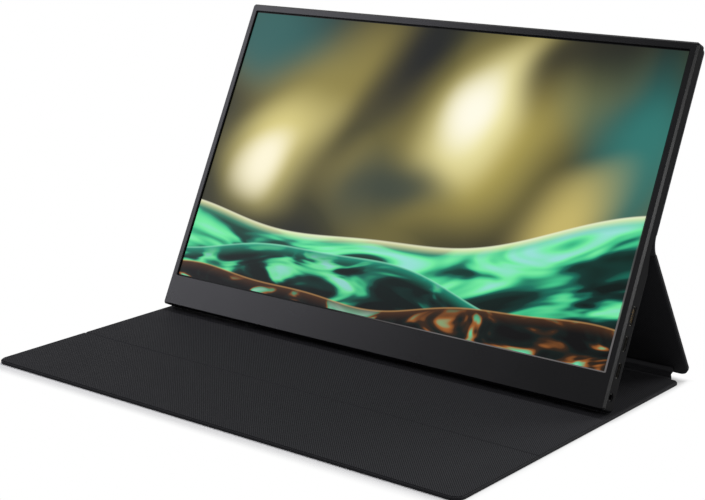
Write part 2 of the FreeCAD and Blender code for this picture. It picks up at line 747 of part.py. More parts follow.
def panel_drive():
    """Driver board behind the chin, its flex tabs and the ribbon to the main board."""
    strip = ("-driver_length / 2", "driver_length / 2", "driver_low", "driver_high")
    slab("panel_driver_board", *strip, "driver_back", "flex_back")
    flexes = new_body("driver_flexes", MONITOR, several=True)
    middle = "(driver_low + driver_high) / 2"
    for number in range(FLEX_TABS):
        centre = f"({number} - ({FLEX_TABS} - 1) / 2) * flex_pitch"
        block(
            flexes,
            f"tab_{number + 1}",
            (f"{centre} - flex_width / 2", middle, "flex_back"),
            (f"{centre} + flex_width / 2", "tray_low", "cell_back"),
        )
    ribbon = new_body("panel_cable", MONITOR)
    head_start = "min(driver_length / 2; board_left + ribbon_setback) - ribbon_tail"
    turn = "board_left + ribbon_setback"
    back_of_turn = f"{turn} + flex_thickness"
    foot_top = "board_front + flex_thickness"
    low = f"{middle} - ribbon_width / 2"
    high = f"{middle} + ribbon_width / 2"
    level = "driver_back - flex_thickness"
    block(ribbon, "head", (head_start, low, level), (back_of_turn, high, "driver_back"))
    block(ribbon, "drop", (turn, low, "board_front"), (back_of_turn, high, "driver_back"))
    block(ribbon, "foot", (turn, low, "board_front"), (f"{turn} + ribbon_tail", high, foot_top))


# Electronics


def main_board():
    """Board on its posts, with packages, and a folded shield over the processor."""
    body = new_body("main_board", MONITOR)
    low_corner = ("board_left", "board_low", "board_back")
    block(body, "sheet", low_corner, ("board_right", "board_high", "board_front"))
    dress(body, "Fillet", "corners", upright, "Radius", "wall")
    chips = new_body("board_chips", MONITOR, several=True)
    half = "chip_size / 2"
    top = "board_front + chip_height"
    block(
        chips,
        "processor",
        (f"shield_x - {half}", f"shield_y - {half}", "board_front"),
        (f"shield_x + {half}", f"shield_y + {half}", top),
    )
    beside = "shield_size / 2 + chip_gap + small_chip / 2"
    supplies = (
        (f"shield_x - ({beside})", "shield_y"),
        (f"shield_x - ({beside})", "shield_y + chip_pitch"),
        ("shield_x", f"shield_y - ({beside})"),
    )
    half = "small_chip / 2"
    for number, (x, y) in enumerate(supplies, 1):
        near_corner = (f"{x} - {half}", f"{y} - {half}", "board_front")
        block(chips, f"supply_{number}", near_corner, (f"{x} + {half}", f"{y} + {half}", top))
    can = new_body("shield_can", MONITOR)
    half = "shield_size / 2"
    block(
        can,
        "outside",
        (f"shield_x - {half}", f"shield_y - {half}", "board_front"),
        (f"shield_x + {half}", f"shield_y + {half}", "board_front + shield_height"),
    )
    half = "shield_size / 2 - shield_sheet"
    block(
        can,
        "inside",
        (f"shield_x - ({half})", f"shield_y - ({half})", "board_front - shield_sheet"),
        (f"shield_x + {half}", f"shield_y + {half}", "board_front + shield_height - shield_sheet"),
        cut=True,
    )


def socket(label, centre, width, height, corner):
    """A socket shell with its contact tongue; its mouth looks out of the right side."""
    level = value("board_front") + value(height) / 2
    body = new_body(label, on_right_side(value(centre), level))
    half_up = f"{width} / 2"
    half_thick = f"{height} / 2"
    outer = rounded(f"-{half_up}", half_up, f"-{half_thick}", half_thick, corner, corner)
    pad(body, "shell", [outer], "-socket_depth", "0")
    inner = rounded(
        f"-{half_up} + shell_sheet",
        f"{half_up} - shell_sheet",
        f"-{half_thick} + shell_sheet",
        f"{half_thick} - shell_sheet",
        f"{corner} - shell_sheet",
        f"{corner} - shell_sheet",
    )
    pocket(body, "mouth", [inner], "-socket_depth + wall", "0")
    half_tongue = f"{half_up} - shell_sheet - tongue_side_gap"
    block(
        body,
        "tongue",
        (f"-({half_tongue})", "-tongue_thickness / 2", "-socket_depth + wall / 2"),
        (half_tongue, "tongue_thickness / 2", "-socket_depth + wall + tongue_length"),
    )


def sockets():
    """The three flat sockets and the round audio jack."""
    socket("mini_hdmi_port", "hdmi_y", "hdmi_width", "hdmi_height", "hdmi_corner")
    socket("upper_usb_c_port", "upper_usb_y", "usb_width", "usb_height", "usb_corner")
    socket("lower_usb_c_port", "lower_usb_y", "usb_width", "usb_height", "usb_corner")
    level = value("board_front") + value("jack_height") / 2
    jack = new_body("audio_jack", on_right_side(value("jack_y"), level))
    block(
        jack,
        "case",
        ("-jack_width / 2", "-jack_height / 2", "-jack_length"),
        ("jack_width / 2", "jack_height / 2", "jack_face"),
    )
    rod(jack, "collar", ("0", "0", "jack_face - wall"), "jack_ring / 2", "wall - jack_face")
    rod(jack, "bore", ("0", "0", "-jack_length + wall"), "jack_bore / 2", "jack_length", cut=True)


def keys():
    """Three push keys with flanges and stems, and the board with their switches."""

    def on_proud_face(point, edge):
        return abs(point.x + value("half_width") + value("key_proud")) < SLACK

    for key in KEYS:
        body = new_body(key + "_button", MONITOR)
        height = key + "_key_y"
        cap_up = "key_length / 2"
        cap_thick = "key_width / 2"
        block(
            body,
            "cap",
            ("-half_width - key_proud", f"{height} - {cap_up}", f"key_level - {cap_thick}"),
            ("-key_inside", f"{height} + {cap_up}", f"key_level + {cap_thick}"),
        )
        rim = "key_gap + key_overlap"
        thick = "(key_width + key_overlap) / 2"
        flange_end = "-key_inside + key_flange"
        half_stem = "stem_width / 2"
        block(
            body,
            "flange",
            ("-key_inside", f"{height} - {cap_up} - ({rim})", f"key_level - {thick}"),
            (flange_end, f"{height} + {cap_up} + {rim}", f"key_level + {thick}"),
        )
        block(
            body,
            "stem",
            (flange_end, f"{height} - {half_stem}", f"key_level - {half_stem}"),
            (f"{flange_end} + stem_length", f"{height} + {half_stem}", f"key_level + {half_stem}"),
        )
        dress(body, "Fillet", "soft_edge", on_proud_face, "Radius", "key_rounding")
    board = new_body("button_board", MONITOR)
    end = "key_length / 2"
    block(
        board,
        "sheet",
        ("-key_board_left", f"menu_down_key_y - {end}", "board_back"),
        ("-key_board_left + key_board_width", f"power_key_y + {end}", "board_front"),
    )
    switches = new_body("key_switches", MONITOR, several=True)
    case = "-switch_left + plunger"
    case_top = "board_front + switch_height"
    for key in KEYS:
        height = key + "_key_y"
        block(
            switches,
            key + "_case",
            (case, f"{height} - switch_size / 2", "board_front"),
            (f"{case} + switch_size", f"{height} + switch_size / 2", case_top),
        )
        block(
            switches,
            key + "_plunger",
            ("-switch_left", f"{height} - stem_width / 2", "key_level - stem_width / 2"),
            (f"{case} + plunger", f"{height} + stem_width / 2", case_top),
        )


def speakers():
    """Two flat speakers on the rear cover's floor, cones towards the sound slots."""
    for label, side in (("left_speaker", "-"), ("right_speaker", "")):
        body = new_body(label, MONITOR)
        left = f"{side}speaker_x - speaker_width / 2"
        right = f"{side}speaker_x + speaker_width / 2"
        high = "speaker_low + speaker_height"
        case = rounded(left, right, "speaker_low", high, "speaker_rim", "speaker_rim")
        pad(body, "case", [case], "wall", "wall + speaker_depth")
        cone = rounded(
            f"{left} + speaker_rim",
            f"{right} - speaker_rim",
            "speaker_low + speaker_rim",
            f"{high} - speaker_rim",
            "speaker_rim",
            "speaker_rim",
        )
        pocket(body, "cone", [cone], "wall", "wall + speaker_rim")


def keepers_and_screws():
    """Steel strips inside the upper back, and the screws of the rear cover."""
    plates = new_body("keeper_plates", MONITOR, several=True)
    keeper_top = "upper_floor + keeper_sheet"
    for name, height in (("lower", "lower_keeper_y"), ("upper", "upper_keeper_y")):
        for side in ("-", ""):
            block(
                plates,
                name + ("_left" if side else "_right"),
                (f"{side}keeper_x - keeper_length / 2", f"{height} - keeper_height / 2", "upper_floor"),
                (f"{side}keeper_x + keeper_length / 2", f"{height} + keeper_height / 2", keeper_top),
            )
    screws = new_body("cover_screws", MONITOR, several=True)
    for side in ("-inner_screw_x", "inner_screw_x", "-outer_screw_x", "outer_screw_x"):
        tag = side.replace("-", "minus_")
        rod(screws, "head_" + tag, (side, "screw_y", "head_seat"), "head_radius", "head_height")
        shank = (side, "screw_y", "head_seat + head_height / 2")
        rod(screws, "shank_" + tag, shank, "screw_radius", "screw_length + head_height / 2")


# Folio cover


def panel(name, placement, width, length, low_radius, high_radius, far_width=None, ear="0"):
    """One cover panel: a skin tray with a turned rim, a stiff board in it and a lining on top.

    A far width narrows it towards its far end; with an ear its near corners run on past the fold.
    """
    half = f"({width}) / 2"
    skin = new_body(name + "_skin", placement)
    whole = rounded(f"-{half}", half, f"-{ear}", length, low_radius, high_radius)
    if far_width:
        far = f"{far_width} / 2"
        whole = polygon((f"-{half}", "0"), (half, "0"), (far, length), (f"-{far}", length))
        half = far
    pad(skin, "tray", [whole], "0", "skin_thickness + core_thickness")
    inset = f"-{half} + rim_width", f"{half} - rim_width", "rim_width", f"({length}) - rim_width"
    bed = rounded(*inset, "seam_radius", "seam_radius")
    pocket(skin, "bed", [bed], "skin_thickness", "skin_thickness + core_thickness")
    board = new_body(name + "_board", placement)
    edge = "rim_width + board_gap"
    block(
        board,
        "sheet",
        (f"-{half} + {edge}", edge, "skin_thickness"),
        (f"{half} - ({edge})", f"({length}) - ({edge})", "skin_thickness + core_thickness"),
    )
    lining = new_body(name + "_lining", placement)
    pad(lining, "sheet", [whole], "skin_thickness + core_thickness", "cover_thickness")
    if ear != "0":
        reach = "fold_width / 2 + ear_gap"
        for body in (skin, lining):
            near_corner = (f"-({reach})", f"-{ear} - ear_gap", "-ear_gap")
            block(body, "fold_notch", near_corner, (reach, "0", "cover_thickness + ear_gap"), cut=True)
    return board


def cover_panels():
    """The five panels of the cover, from the monitor's back to the flap's front edge."""
    back = MONITOR.multiply(moved(0, value("back_panel_low"), value("back_panel_skin_level")))
    back_length = "monitor_height - top_margin - back_panel_low"
    board = panel("back_panel", back, "monitor_width", back_length, "seam_radius", "back_radius")
    magnet_plate(board, back, back_length)
    stand = STAND.multiply(moved(0, value("stand_start"), -value("cover_thickness") / 2))
    length = "stand_arm - hinge_reach - stand_start"
    panel("stand", stand, "monitor_width", length, "stand_radius", "seam_radius", ear="stand_ear")
    spine = moved(0, value("spine_hinge_y") + value("spine_gap") / 2, 0)
    spine_length = "fold_y - spine_hinge_y - spine_gap / 2"
    panel("spine", spine, "spine_width", spine_length, "0", "0", far_width="fold_width")
    rear = moved(0, value("crease_y") + value("crease_gap") / 2, 0)
    rear_length = "spine_hinge_y - spine_gap / 2 - crease_y - crease_gap / 2"
    panel("flap_rear", rear, "flap_width", rear_length, "seam_radius", "flap_rear_radius")
    front = moved(0, -value("flap_depth") / 2, 0)
    front_length = "crease_setback - crease_gap / 2"
    board = panel("flap_front", front, "flap_width", front_length, "flap_front_radius", "seam_radius")
    closing_magnets(board, front)


def magnet_plate(board, placement, length):
    """The plate of magnets let into the back panel's board, which grips the steel strips in the monitor."""
    plate = new_body("magnet_plate", placement)
    half = "magnet_plate_width / 2"
    low = "magnet_plate_margin"
    high = f"{length} - magnet_plate_margin"
    top = "skin_thickness + core_thickness"
    floor = f"{top} - magnet_plate_thickness"
    near_corner = (f"-{half} - board_gap", f"{low} - board_gap", floor)
    far_corner = (f"{half} + board_gap", f"{high} + board_gap", f"{top} + board_gap")
    block(board, "plate_bed", near_corner, far_corner, cut=True)
    block(plate, "sheet", (f"-{half}", low, floor), (half, high, top))


def closing_magnets(board, placement):
    """Magnets let into the front board, which hold the closed flap to the screen's rim."""
    magnets = new_body("closing_magnets", placement, several=True)
    low = "rim_width + board_gap + magnet_setback"
    top = "skin_thickness + core_thickness"
    for side in ("-", ""):
        name = "left" if side else "right"
        left = f"{side}magnet_x - magnet_length / 2"
        right = f"{side}magnet_x + magnet_length / 2"
        block(
            board,
            name + "_bed",
            (f"{left} - board_gap", f"{low} - board_gap", f"{top} - magnet_thickness"),
            (f"{right} + board_gap", f"{low} + magnet_width + board_gap", f"{top} + board_gap"),
            cut=True,
        )
        far_corner = (right, f"{low} + magnet_width", top)
        block(magnets, name, (left, low, f"{top} - magnet_thickness"), far_corner)


def hinge_cloths():
    """The four stretches of cloth without a board: two bent, two flat."""
    reach = value("bend_radius") / math.cos(math.radians(value("bend_turn") / 2))
    rise = math.radians((STAND_LEAN - LEAN) / 2)
    centre_y = value("upper_hinge_y") + reach * math.cos(rise)
    centre_z = value("upper_hinge_z") + reach * math.sin(rise)
    upper = across(centre_y, centre_z, 180 - LEAN)
    bent_cloth("upper_hinge_strip", upper, "bend_radius", "bend_turn", "monitor_width", "0")
    lower = across(value("fold_y"), value("cover_thickness") / 2 + value("fold_radius"), -90)
    inset = "(monitor_width - fold_width) / 2"
    bent_cloth("lower_hinge_strip", lower, "fold_radius", "fold_turn", "fold_width", inset)
    low = "(cover_thickness - cloth_thickness) / 2"
    flat_cloth("spine_hinge_strip", "spine_width", "spine_hinge_y", "spine_gap", low)
    crease_low = "cover_thickness - cloth_thickness"
    flat_cloth("crease_strip", "flap_width", "crease_y", "crease_gap", crease_low)


def bent_cloth(label, placement, radius, turn, width, inset):
    """Cloth bent round a line: a sector of a tube."""
    body = new_body(label, placement)
    outer = rod(body, "outside", ("0", "0", inset), f"{radius} + cloth_thickness / 2", width)
    outer.setExpression("Angle", bound(turn))
    inner = rod(body, "inside", ("0", "0", inset), f"{radius} - cloth_thickness / 2", width, cut=True)
    inner.setExpression("Angle", bound(turn))


def flat_cloth(label, width, middle, gap, low):
    """Cloth that lies flat between two boards."""
    body = new_body(label, TABLE)
    block(
        body,
        "sheet",
        (f"-({width}) / 2", f"{middle} - {gap} / 2", low),
        (f"({width}) / 2", f"{middle} + {gap} / 2", f"{low} + cloth_thickness"),
    )


front_bezel()
rear_cover()
display_stack()
panel_drive()
main_board()
sockets()
keys()
speakers()
keepers_and_screws()
cover_panels()
hinge_cloths()
doc.recompute()

for item in doc.Objects:
    if "Invalid" in item.State or "Error" in item.State:
        raise RuntimeError(f"{item.Label}: {item.State}")
os.makedirs("parts", exist_ok=True)
for body in nodes:
    shape = body.Shape
    if shape.isNull() or not shape.isValid() or not shape.Solids:
        raise RuntimeError(f"{body.Label}: no sound solid")
    shape.exportStep(os.path.join("parts", body.Label + ".step"))
    print(f"{body.Label}: {len(shape.Solids)} solid, {shape.Volume:.1f} mm3")
AXES = ("upper_hinge_y", "upper_hinge_z", "foot_y", "foot_z", "crease_y", "spine_hinge_y")
for name in AXES + ("monitor_y", "monitor_z", "stand_lean", "stand_arm"):
    print(f"{name} = {value(name):.4f}")
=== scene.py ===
"""Looks of a portable monitor that stands on its folded folio cover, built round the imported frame."""

import json
import logging
import math
from dataclasses import dataclass
from enum import Enum
from typing import Sequence

import bmesh
import bpy
from mathutils import Matrix, Vector


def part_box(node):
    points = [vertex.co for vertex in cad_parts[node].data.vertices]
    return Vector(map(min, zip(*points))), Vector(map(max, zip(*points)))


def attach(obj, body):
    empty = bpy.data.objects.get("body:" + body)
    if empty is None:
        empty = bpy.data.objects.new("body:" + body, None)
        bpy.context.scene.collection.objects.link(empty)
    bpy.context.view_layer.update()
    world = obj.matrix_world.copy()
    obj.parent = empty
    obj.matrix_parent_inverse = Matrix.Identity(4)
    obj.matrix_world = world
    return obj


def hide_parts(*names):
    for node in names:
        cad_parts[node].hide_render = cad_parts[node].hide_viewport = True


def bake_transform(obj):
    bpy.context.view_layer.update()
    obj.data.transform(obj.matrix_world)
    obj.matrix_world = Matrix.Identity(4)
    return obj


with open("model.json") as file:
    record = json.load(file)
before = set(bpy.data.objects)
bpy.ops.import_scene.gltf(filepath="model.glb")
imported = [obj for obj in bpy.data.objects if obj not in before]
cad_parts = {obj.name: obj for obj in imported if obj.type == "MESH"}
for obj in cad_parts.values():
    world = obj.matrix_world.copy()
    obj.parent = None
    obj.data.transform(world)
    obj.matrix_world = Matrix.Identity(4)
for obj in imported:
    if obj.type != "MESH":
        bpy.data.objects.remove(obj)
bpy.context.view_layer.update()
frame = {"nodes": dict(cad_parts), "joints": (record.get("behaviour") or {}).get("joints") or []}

LOG = logging.getLogger("portable_monitor")
MM = 0.001
WEAVE_MAP = "Weave"

# Distances within which points count as one, and as lying on a cut, in metres
MERGED = 1e-6
ON_CUT = 1e-7

# Sockets of Blender's Mix node when it mixes colours
MIX_FACTOR = 0
MIX_A = 6
MIX_B = 7
MIX_RESULT = 2

Mesh = bmesh.types.BMesh
Node = bpy.types.Node
Socket = bpy.types.NodeSocket
Source = Node | Socket
Tree = bpy.types.NodeTree
Corner = tuple[float, float, float]
Stops = tuple[tuple[float, str], ...]


class Body(str, Enum):
    """The moving bodies of the object."""

    BASE = "base"
    FLAP = "flap_front"
    SPINE = "spine"
    STAND = "stand"
    MONITOR = "monitor"


def linear(colour: str) -> tuple[float, float, float, float]:
    """Turns an sRGB hex colour into linear values.

    Args:
        colour: Colour such as "#1A1A1C".

    Returns:
        Red, green, blue and an alpha of 1 for a shader socket.
    """
    channels = [int(colour[i : i + 2], 16) / 255 for i in (1, 3, 5)]
    lit = [c / 12.92 if c <= 0.04045 else ((c + 0.055) / 1.055) ** 2.4 for c in channels]
    return (*lit, 1.0)


def add_node(
    tree: Tree, kind: str, inputs: dict | None = None, stops: Stops = (), **options: object
) -> Node:
    """Adds a shader node with its settings and links.

    Args:
        tree: Node tree that takes the node.
        kind: Blender's name of the node without its ShaderNode prefix.
        inputs: By input name or number: a value, a socket to link, or a node whose first output is linked.
        stops: Places and hex colours of a colour ramp.
        options: Properties of the node itself.

    Returns:
        The new node.
    """
    node = tree.nodes.new("ShaderNode" + kind)
    for name, setting in options.items():
        setattr(node, name, setting)
    for key, given in (inputs or {}).items():
        source = given.outputs[0] if isinstance(given, Node) else given
        if isinstance(source, Socket):
            tree.links.new(source, node.inputs[key])
        else:
            node.inputs[key].default_value = source
    for number, (place, colour) in enumerate(stops):
        elements = node.color_ramp.elements
        element = elements[number] if number < len(elements) else elements.new(place)
        element.position = place
        element.color = linear(colour)
    return node


# Frames of the leaning parts


def hinge_point(joint: str) -> Vector:
    """Where a joint's axis crosses the middle of the object, in metres."""
    return Vector(next(j for j in frame["joints"] if j["name"] == joint)["pos_m"])


@dataclass(frozen=True)
class Leaf:
    """A flat frame of the object: x across, y along the leaf, z from its outer skin to its inner face.

    Attributes:
        origin: Where the leaf's own origin is, in metres.
        pitch: Angle that the y axis is raised from the table, in radians.
    """

    origin: Vector
    pitch: float

    @property
    def matrix(self) -> Matrix:
        """From the leaf's own frame to the object's."""
        return Matrix.Translation(self.origin) @ Matrix.Rotation(self.pitch, 4, "X")

    def extent(self, *nodes: str) -> tuple[Vector, Vector]:
        """Lowest and highest corner of CAD nodes in the leaf's own frame.

        Args:
            nodes: Names of the nodes.

        Returns:
            The two corners, in metres.
        """
        inverse = self.matrix.inverted()
        points = [inverse @ v.co for name in nodes for v in frame["nodes"][name].data.vertices]
        low = Vector(min(p[axis] for p in points) for axis in range(3))
        high = Vector(max(p[axis] for p in points) for axis in range(3))
        return low, high


def monitor_leaf() -> Leaf:
    """Finds the monitor's frame.

    Returns:
        The frame, with its origin at the middle of the monitor's bottom edge and on its back.
    """
    face = max(frame["nodes"]["lcd_cell"].data.polygons, key=lambda polygon: polygon.area)
    level = Leaf(Vector(), math.atan2(abs(face.normal.y), abs(face.normal.z)))
    low, _ = level.extent("rear_cover", "front_bezel")
    return Leaf(level.matrix @ Vector((0.0, low.y, low.z)), level.pitch)


def stand_leaf() -> Leaf:
    """Finds the stand's frame.

    Returns:
        The frame, with its origin on the lower hinge line.
    """
    foot = hinge_point("stand_lean")
    rise = hinge_point("monitor_tilt") - foot
    return Leaf(foot, math.atan2(rise.z, rise.y))


TABLE = Leaf(Vector(), 0.0)
MONITOR = monitor_leaf()
STAND = stand_leaf()


# Finishes


@dataclass(frozen=True)
class Finish:
    """What every finish has.

    Attributes:
        name: Common name of the material and how it was made.
        colour: Base colour as an sRGB hex value.
        roughness: Mean roughness.
        specular: Specular level, 0.5 for an ordinary plastic.
        metallic: 1 for bare metal.
        emission: Its own light; 1 shows the lit colours as they are written.
        tint: Second colour, which the finish's pattern leads to.
        unevenness: Most that the roughness departs from its mean.
        relief: Height of the pattern on the surface, in metres.
    """

    name: str
    colour: str
    roughness: float
    specular: float = 0.2
    metallic: float = 0.0
    emission: float = 0.0
    tint: str = "#808080"
    unevenness: float = 0.0
    relief: float = 0.0

    def material(self) -> bpy.types.Material:
        """Gives the finish as a material, which is made once.

        Returns:
            The material.
        """
        known = bpy.data.materials.get(self.name)
        if known:
            return known
        material = bpy.data.materials.new(self.name)
        material.use_nodes = True
        tree = material.node_tree
        shader = tree.nodes["Principled BSDF"]
        plain = {
            "Base Color": linear(self.colour),
            "Roughness": self.roughness,
            "Specular IOR Level": self.specular,
            "Metallic": self.metallic,
            "Emission Strength": self.emission,
        }
        for name, setting in plain.items():
            shader.inputs[name].default_value = setting
        self.paint(tree, shader)
        return material

    def paint(self, tree: Tree, shader: Node) -> None:
        """Adds the finish's own pattern; a plain finish has none."""

    def follow(
        self, tree: Tree, shader: Node, tone: Node, gloss: Node | None = None, height: Node | None = None
    ) -> None:
        """Lets colour, gloss and surface follow the finish's patterns.

        Args:
            tree: Node tree that takes the nodes.
            shader: Shader that they feed.
            tone: Share of the second colour.
            gloss: Share of the swing of the roughness, if it has one.
            height: Height of the surface, if it is embossed.
        """
        colours = {MIX_FACTOR: tone, MIX_A: linear(self.colour), MIX_B: linear(self.tint)}
        mixed = add_node(tree, "Mix", colours, data_type="RGBA")
        tree.links.new(mixed.outputs[MIX_RESULT], shader.inputs["Base Color"])
        if gloss is not None:
            least, most = self.roughness - self.unevenness, self.roughness + self.unevenness
            swing = add_node(tree, "MapRange", {"Value": gloss, "To Min": least, "To Max": most})
            tree.links.new(swing.outputs[0], shader.inputs["Roughness"])
        if height is not None:
            bump = add_node(tree, "Bump", {"Height": height, "Distance": self.relief, "Strength": 1.0})
            tree.links.new(bump.outputs[0], shader.inputs["Normal"])


@dataclass(frozen=True)
class Moulded(Finish):
    """Injection-moulded plastic: a fine eroded grain breaks up its gloss, with faint clouds of flow.

    Attributes:
        grain: Size of one grain of the mould's texture, in metres, as coarse as it needs to be to show.
        cloud: Size of the faint changes in colour and gloss, in metres.
    """

    tint: str = "#121214"
    unevenness: float = 0.03
    relief: float = 0.006 * MM
    grain: float = 0.5 * MM
    cloud: float = 30 * MM

    def paint(self, tree: Tree, shader: Node) -> None:
        """Adds clouds to colour and gloss, and the grain to the surface.

        Args:
            tree: Node tree that takes the nodes.
            shader: Shader that they feed.
        """
        place = add_node(tree, "TexCoord").outputs["Object"]
        cloud = add_node(tree, "TexNoise", {"Vector": place, "Scale": 1 / self.cloud, "Detail": 2.0})
        grain = add_node(tree, "TexNoise", {"Vector": place, "Scale": 1 / self.grain, "Detail": 1.0})
        self.follow(tree, shader, cloud, gloss=cloud, height=grain)


@dataclass(frozen=True)
class Leatherette(Finish):
    """Polyurethane leatherette with a twill emboss: crossed ridges, one way stronger, paler on top with
    painted shade between them.

    Attributes:
        pitch: Distance between two ridges, in metres, as coarse as it needs to be to show.
        cross: Strength of the weaker ridges against the stronger.
        cloud: Size of the slow changes of gloss, in metres.
    """

    # Colour of the ridges' tops, paler than the painted shade in the hollows
    tint: str = "#2A2A2C"
    unevenness: float = 0.06
    relief: float = 0.1 * MM
    pitch: float = 1.1 * MM
    cross: float = 0.4
    cloud: float = 25 * MM

    def paint(self, tree: Tree, shader: Node) -> None:
        """Adds the crossed ridges to the surface and, as painted shade in the hollows and paler ridges, to
        colour, and slow changes of gloss.

        Args:
            tree: Node tree that takes the nodes.
            shader: Shader that they feed.
        """
        place = add_node(tree, "UVMap", uv_map=WEAVE_MAP)
        flat = add_node(tree, "SeparateXYZ", {0: place}).outputs
        turn = math.pi / (self.pitch * math.sqrt(2))
        ridges = []
        for way in ("ADD", "SUBTRACT"):
            across = add_node(tree, "Math", {0: flat[0], 1: flat[1]}, operation=way)
            phase = add_node(tree, "Math", {0: across, 1: turn}, operation="MULTIPLY")
            wave = add_node(tree, "Math", {0: phase}, operation="SINE")
            ridges.append(add_node(tree, "Math", {0: wave}, operation="ABSOLUTE"))
        both = add_node(tree, "Math", {0: ridges[1], 1: self.cross, 2: ridges[0]}, operation="MULTIPLY_ADD")
        height = add_node(tree, "Math", {0: both, 1: 1 + self.cross}, operation="DIVIDE")
        cloud = add_node(tree, "TexNoise", {"Vector": place, "Scale": 1 / self.cloud, "Detail": 3.0})
        # The ridges' height also sets the colour: painted shade in the hollows, paler on the ridges
        self.follow(tree, shader, height, gloss=cloud, height=height)


@dataclass(frozen=True)
class SheetMetal(Finish):
    """Rolled and plated sheet: streaks along the rolling direction in gloss and tint.

    Attributes:
        streak: Width of a streak, in metres.
        draw: How much shorter the pattern is across than along.
    """

    specular: float = 0.5
    metallic: float = 1.0
    tint: str = "#A8A49A"
    unevenness: float = 0.08
    streak: float = 0.4 * MM
    draw: float = 0.05

    def paint(self, tree: Tree, shader: Node) -> None:
        """Adds the streaks to colour and gloss.

        Args:
            tree: Node tree that takes the nodes.
            shader: Shader that they feed.
        """
        place = add_node(tree, "TexCoord").outputs["Object"]
        long = add_node(tree, "Mapping", {"Vector": place, "Scale": (self.draw, 1.0, 1.0)})
        streak = add_node(tree, "TexNoise", {"Vector": long, "Scale": 1 / self.streak, "Detail": 3.0})
        self.follow(tree, shader, streak, gloss=streak)


@dataclass(frozen=True)
class Speckled(Finish):
    """Film, resin, fibre board or solder mask: two colours in small patches under an even gloss.

    Attributes:
        patch: Size of a patch, in metres.
    """

    patch: float = 2 * MM

    def paint(self, tree: Tree, shader: Node) -> None:
        """Adds the patches to colour.

        Args:
            tree: Node tree that takes the nodes.
            shader: Shader that they feed.
        """
        place = add_node(tree, "TexCoord").outputs["Object"]
        patch = add_node(tree, "TexNoise", {"Vector": place, "Scale": 1 / self.patch, "Detail": 4.0})
        self.follow(tree, shader, patch)


# The screen's picture, whose sizes are in heights of the picture


@dataclass(frozen=True)
class Canvas:
    """The picture while it is painted.

    Attributes:
        tree: Node tree that takes the nodes.
        across: Place across the picture.
        up: Place up the picture.
        drifted: Place on it, moved by the slow drift that bends the blurred lights.
    """

    tree: Tree
    across: Socket
    up: Socket
    drifted: Node


@dataclass(frozen=True)
class Glow:
    """A blurred light or shade behind the veils.

    Attributes:
        place: Its middle, across and up.
        spread: Its reach along and across its slant.
        turn: That slant, in radians.
        colour: Its colour as an sRGB hex value.
        share: How much it covers in its middle.
        depth: Its reach through the glass, so great that the place in the glass doesn't matter.
    """

    place: tuple[float, float]
    spread: tuple[float, float]
    turn: float
    colour: str
    share: float
    depth: float = 10.0

    def lay(self, canvas: Canvas, behind: Source) -> Socket:
        """Lays the glow over what is behind it.

        Args:
            canvas: The picture.
            behind: Colour behind the glow.

        Returns:
            The colour with the glow on it.
        """
        placing = {
            "Vector": canvas.drifted,
            "Location": (*self.place, 0.0),
            "Rotation": (0.0, 0.0, self.turn),
            "Scale": (*self.spread, self.depth),
        }
        spot = add_node(canvas.tree, "Mapping", placing, vector_type="TEXTURE")
        away = add_node(canvas.tree, "VectorMath", {0: spot}, operation="LENGTH").outputs["Value"]
        fade = {"Value": away, "From Min": 1.0, "From Max": 0.0, "To Max": self.share}
        share = add_node(canvas.tree, "MapRange", fade, interpolation_type="SMOOTHERSTEP")
        mixed = {MIX_FACTOR: share, MIX_A: behind, MIX_B: linear(self.colour)}
        return add_node(canvas.tree, "Mix", mixed, data_type="RGBA").outputs[MIX_RESULT]


@dataclass(frozen=True)
class Veil:
    """One silky veil with threads of light along it.

    Attributes:
        base: Height of its crest at the left edge.
        climb: Rise of the crest from there across one height.
        swell: Height and count of its long wave.
        ripple: The same for its short wave.
        phase: Where the waves start.
        soft: Blur of the crest.
        depth: How far below the crest its last colour lies.
        stops: Colours from the crest down.
        threads: Count of the threads of light along it, and how flat they lie.
        light: Colours of those threads from dark to bright.
        share: How much the threads cover.
        fringe: Height under the crest over which the threads come in.
    """

    base: float
    climb: float
    swell: tuple[float, float]
    ripple: tuple[float, float]
    phase: float
    soft: float
    depth: float
    stops: Stops
    threads: tuple[float, float]
    light: Stops
    share: float
    fringe: float = 0.045

    def lay(self, canvas: Canvas, behind: Source) -> Socket:
        """Lays the veil over what is behind it.

        Args:
            canvas: The picture.
            behind: Colour behind the veil.

        Returns:
            The colour with the veil on it.
        """
        tree, across = canvas.tree, canvas.across
        crest = add_node(tree, "Math", {0: across, 1: self.climb, 2: self.base}, operation="MULTIPLY_ADD")
        for tall, count in (self.swell, self.ripple):
            turn = add_node(tree, "Math", {0: across, 1: count, 2: self.phase}, operation="MULTIPLY_ADD")
            wave = add_node(tree, "Math", {0: turn}, operation="SINE")
            crest = add_node(tree, "Math", {0: wave, 1: tall, 2: crest}, operation="MULTIPLY_ADD")
        below = add_node(tree, "Math", {0: crest, 1: canvas.up}, operation="SUBTRACT")
        fall = add_node(tree, "Math", {0: below, 1: self.depth}, operation="DIVIDE")
        body = add_node(tree, "ValToRGB", {0: fall}, stops=self.stops)
        count, flatness = self.threads
        along = add_node(tree, "CombineXYZ", {0: across, 1: below, 2: self.phase})
        drawn = add_node(tree, "Mapping", {"Vector": along, "Scale": (1.0, flatness, 1.0)})
        flow = add_node(tree, "TexNoise", {"Vector": drawn, "Scale": count, **THREAD_NOISE})
        light = add_node(tree, "ValToRGB", {0: flow}, stops=self.light)
        reach = {"Value": below, "From Min": 0.0, "From Max": self.fringe, "To Max": self.share}
        threads = {MIX_FACTOR: add_node(tree, "MapRange", reach), MIX_A: body, MIX_B: light}
        lit = add_node(tree, "Mix", threads, data_type="RGBA").outputs[MIX_RESULT]
        edge = {"Value": below, "From Min": 0.0, "From Max": self.soft}
        cover = add_node(tree, "MapRange", edge, interpolation_type="SMOOTHSTEP")
        laid = {MIX_FACTOR: cover, MIX_A: behind, MIX_B: lit}
        return add_node(tree, "Mix", laid, data_type="RGBA").outputs[MIX_RESULT]


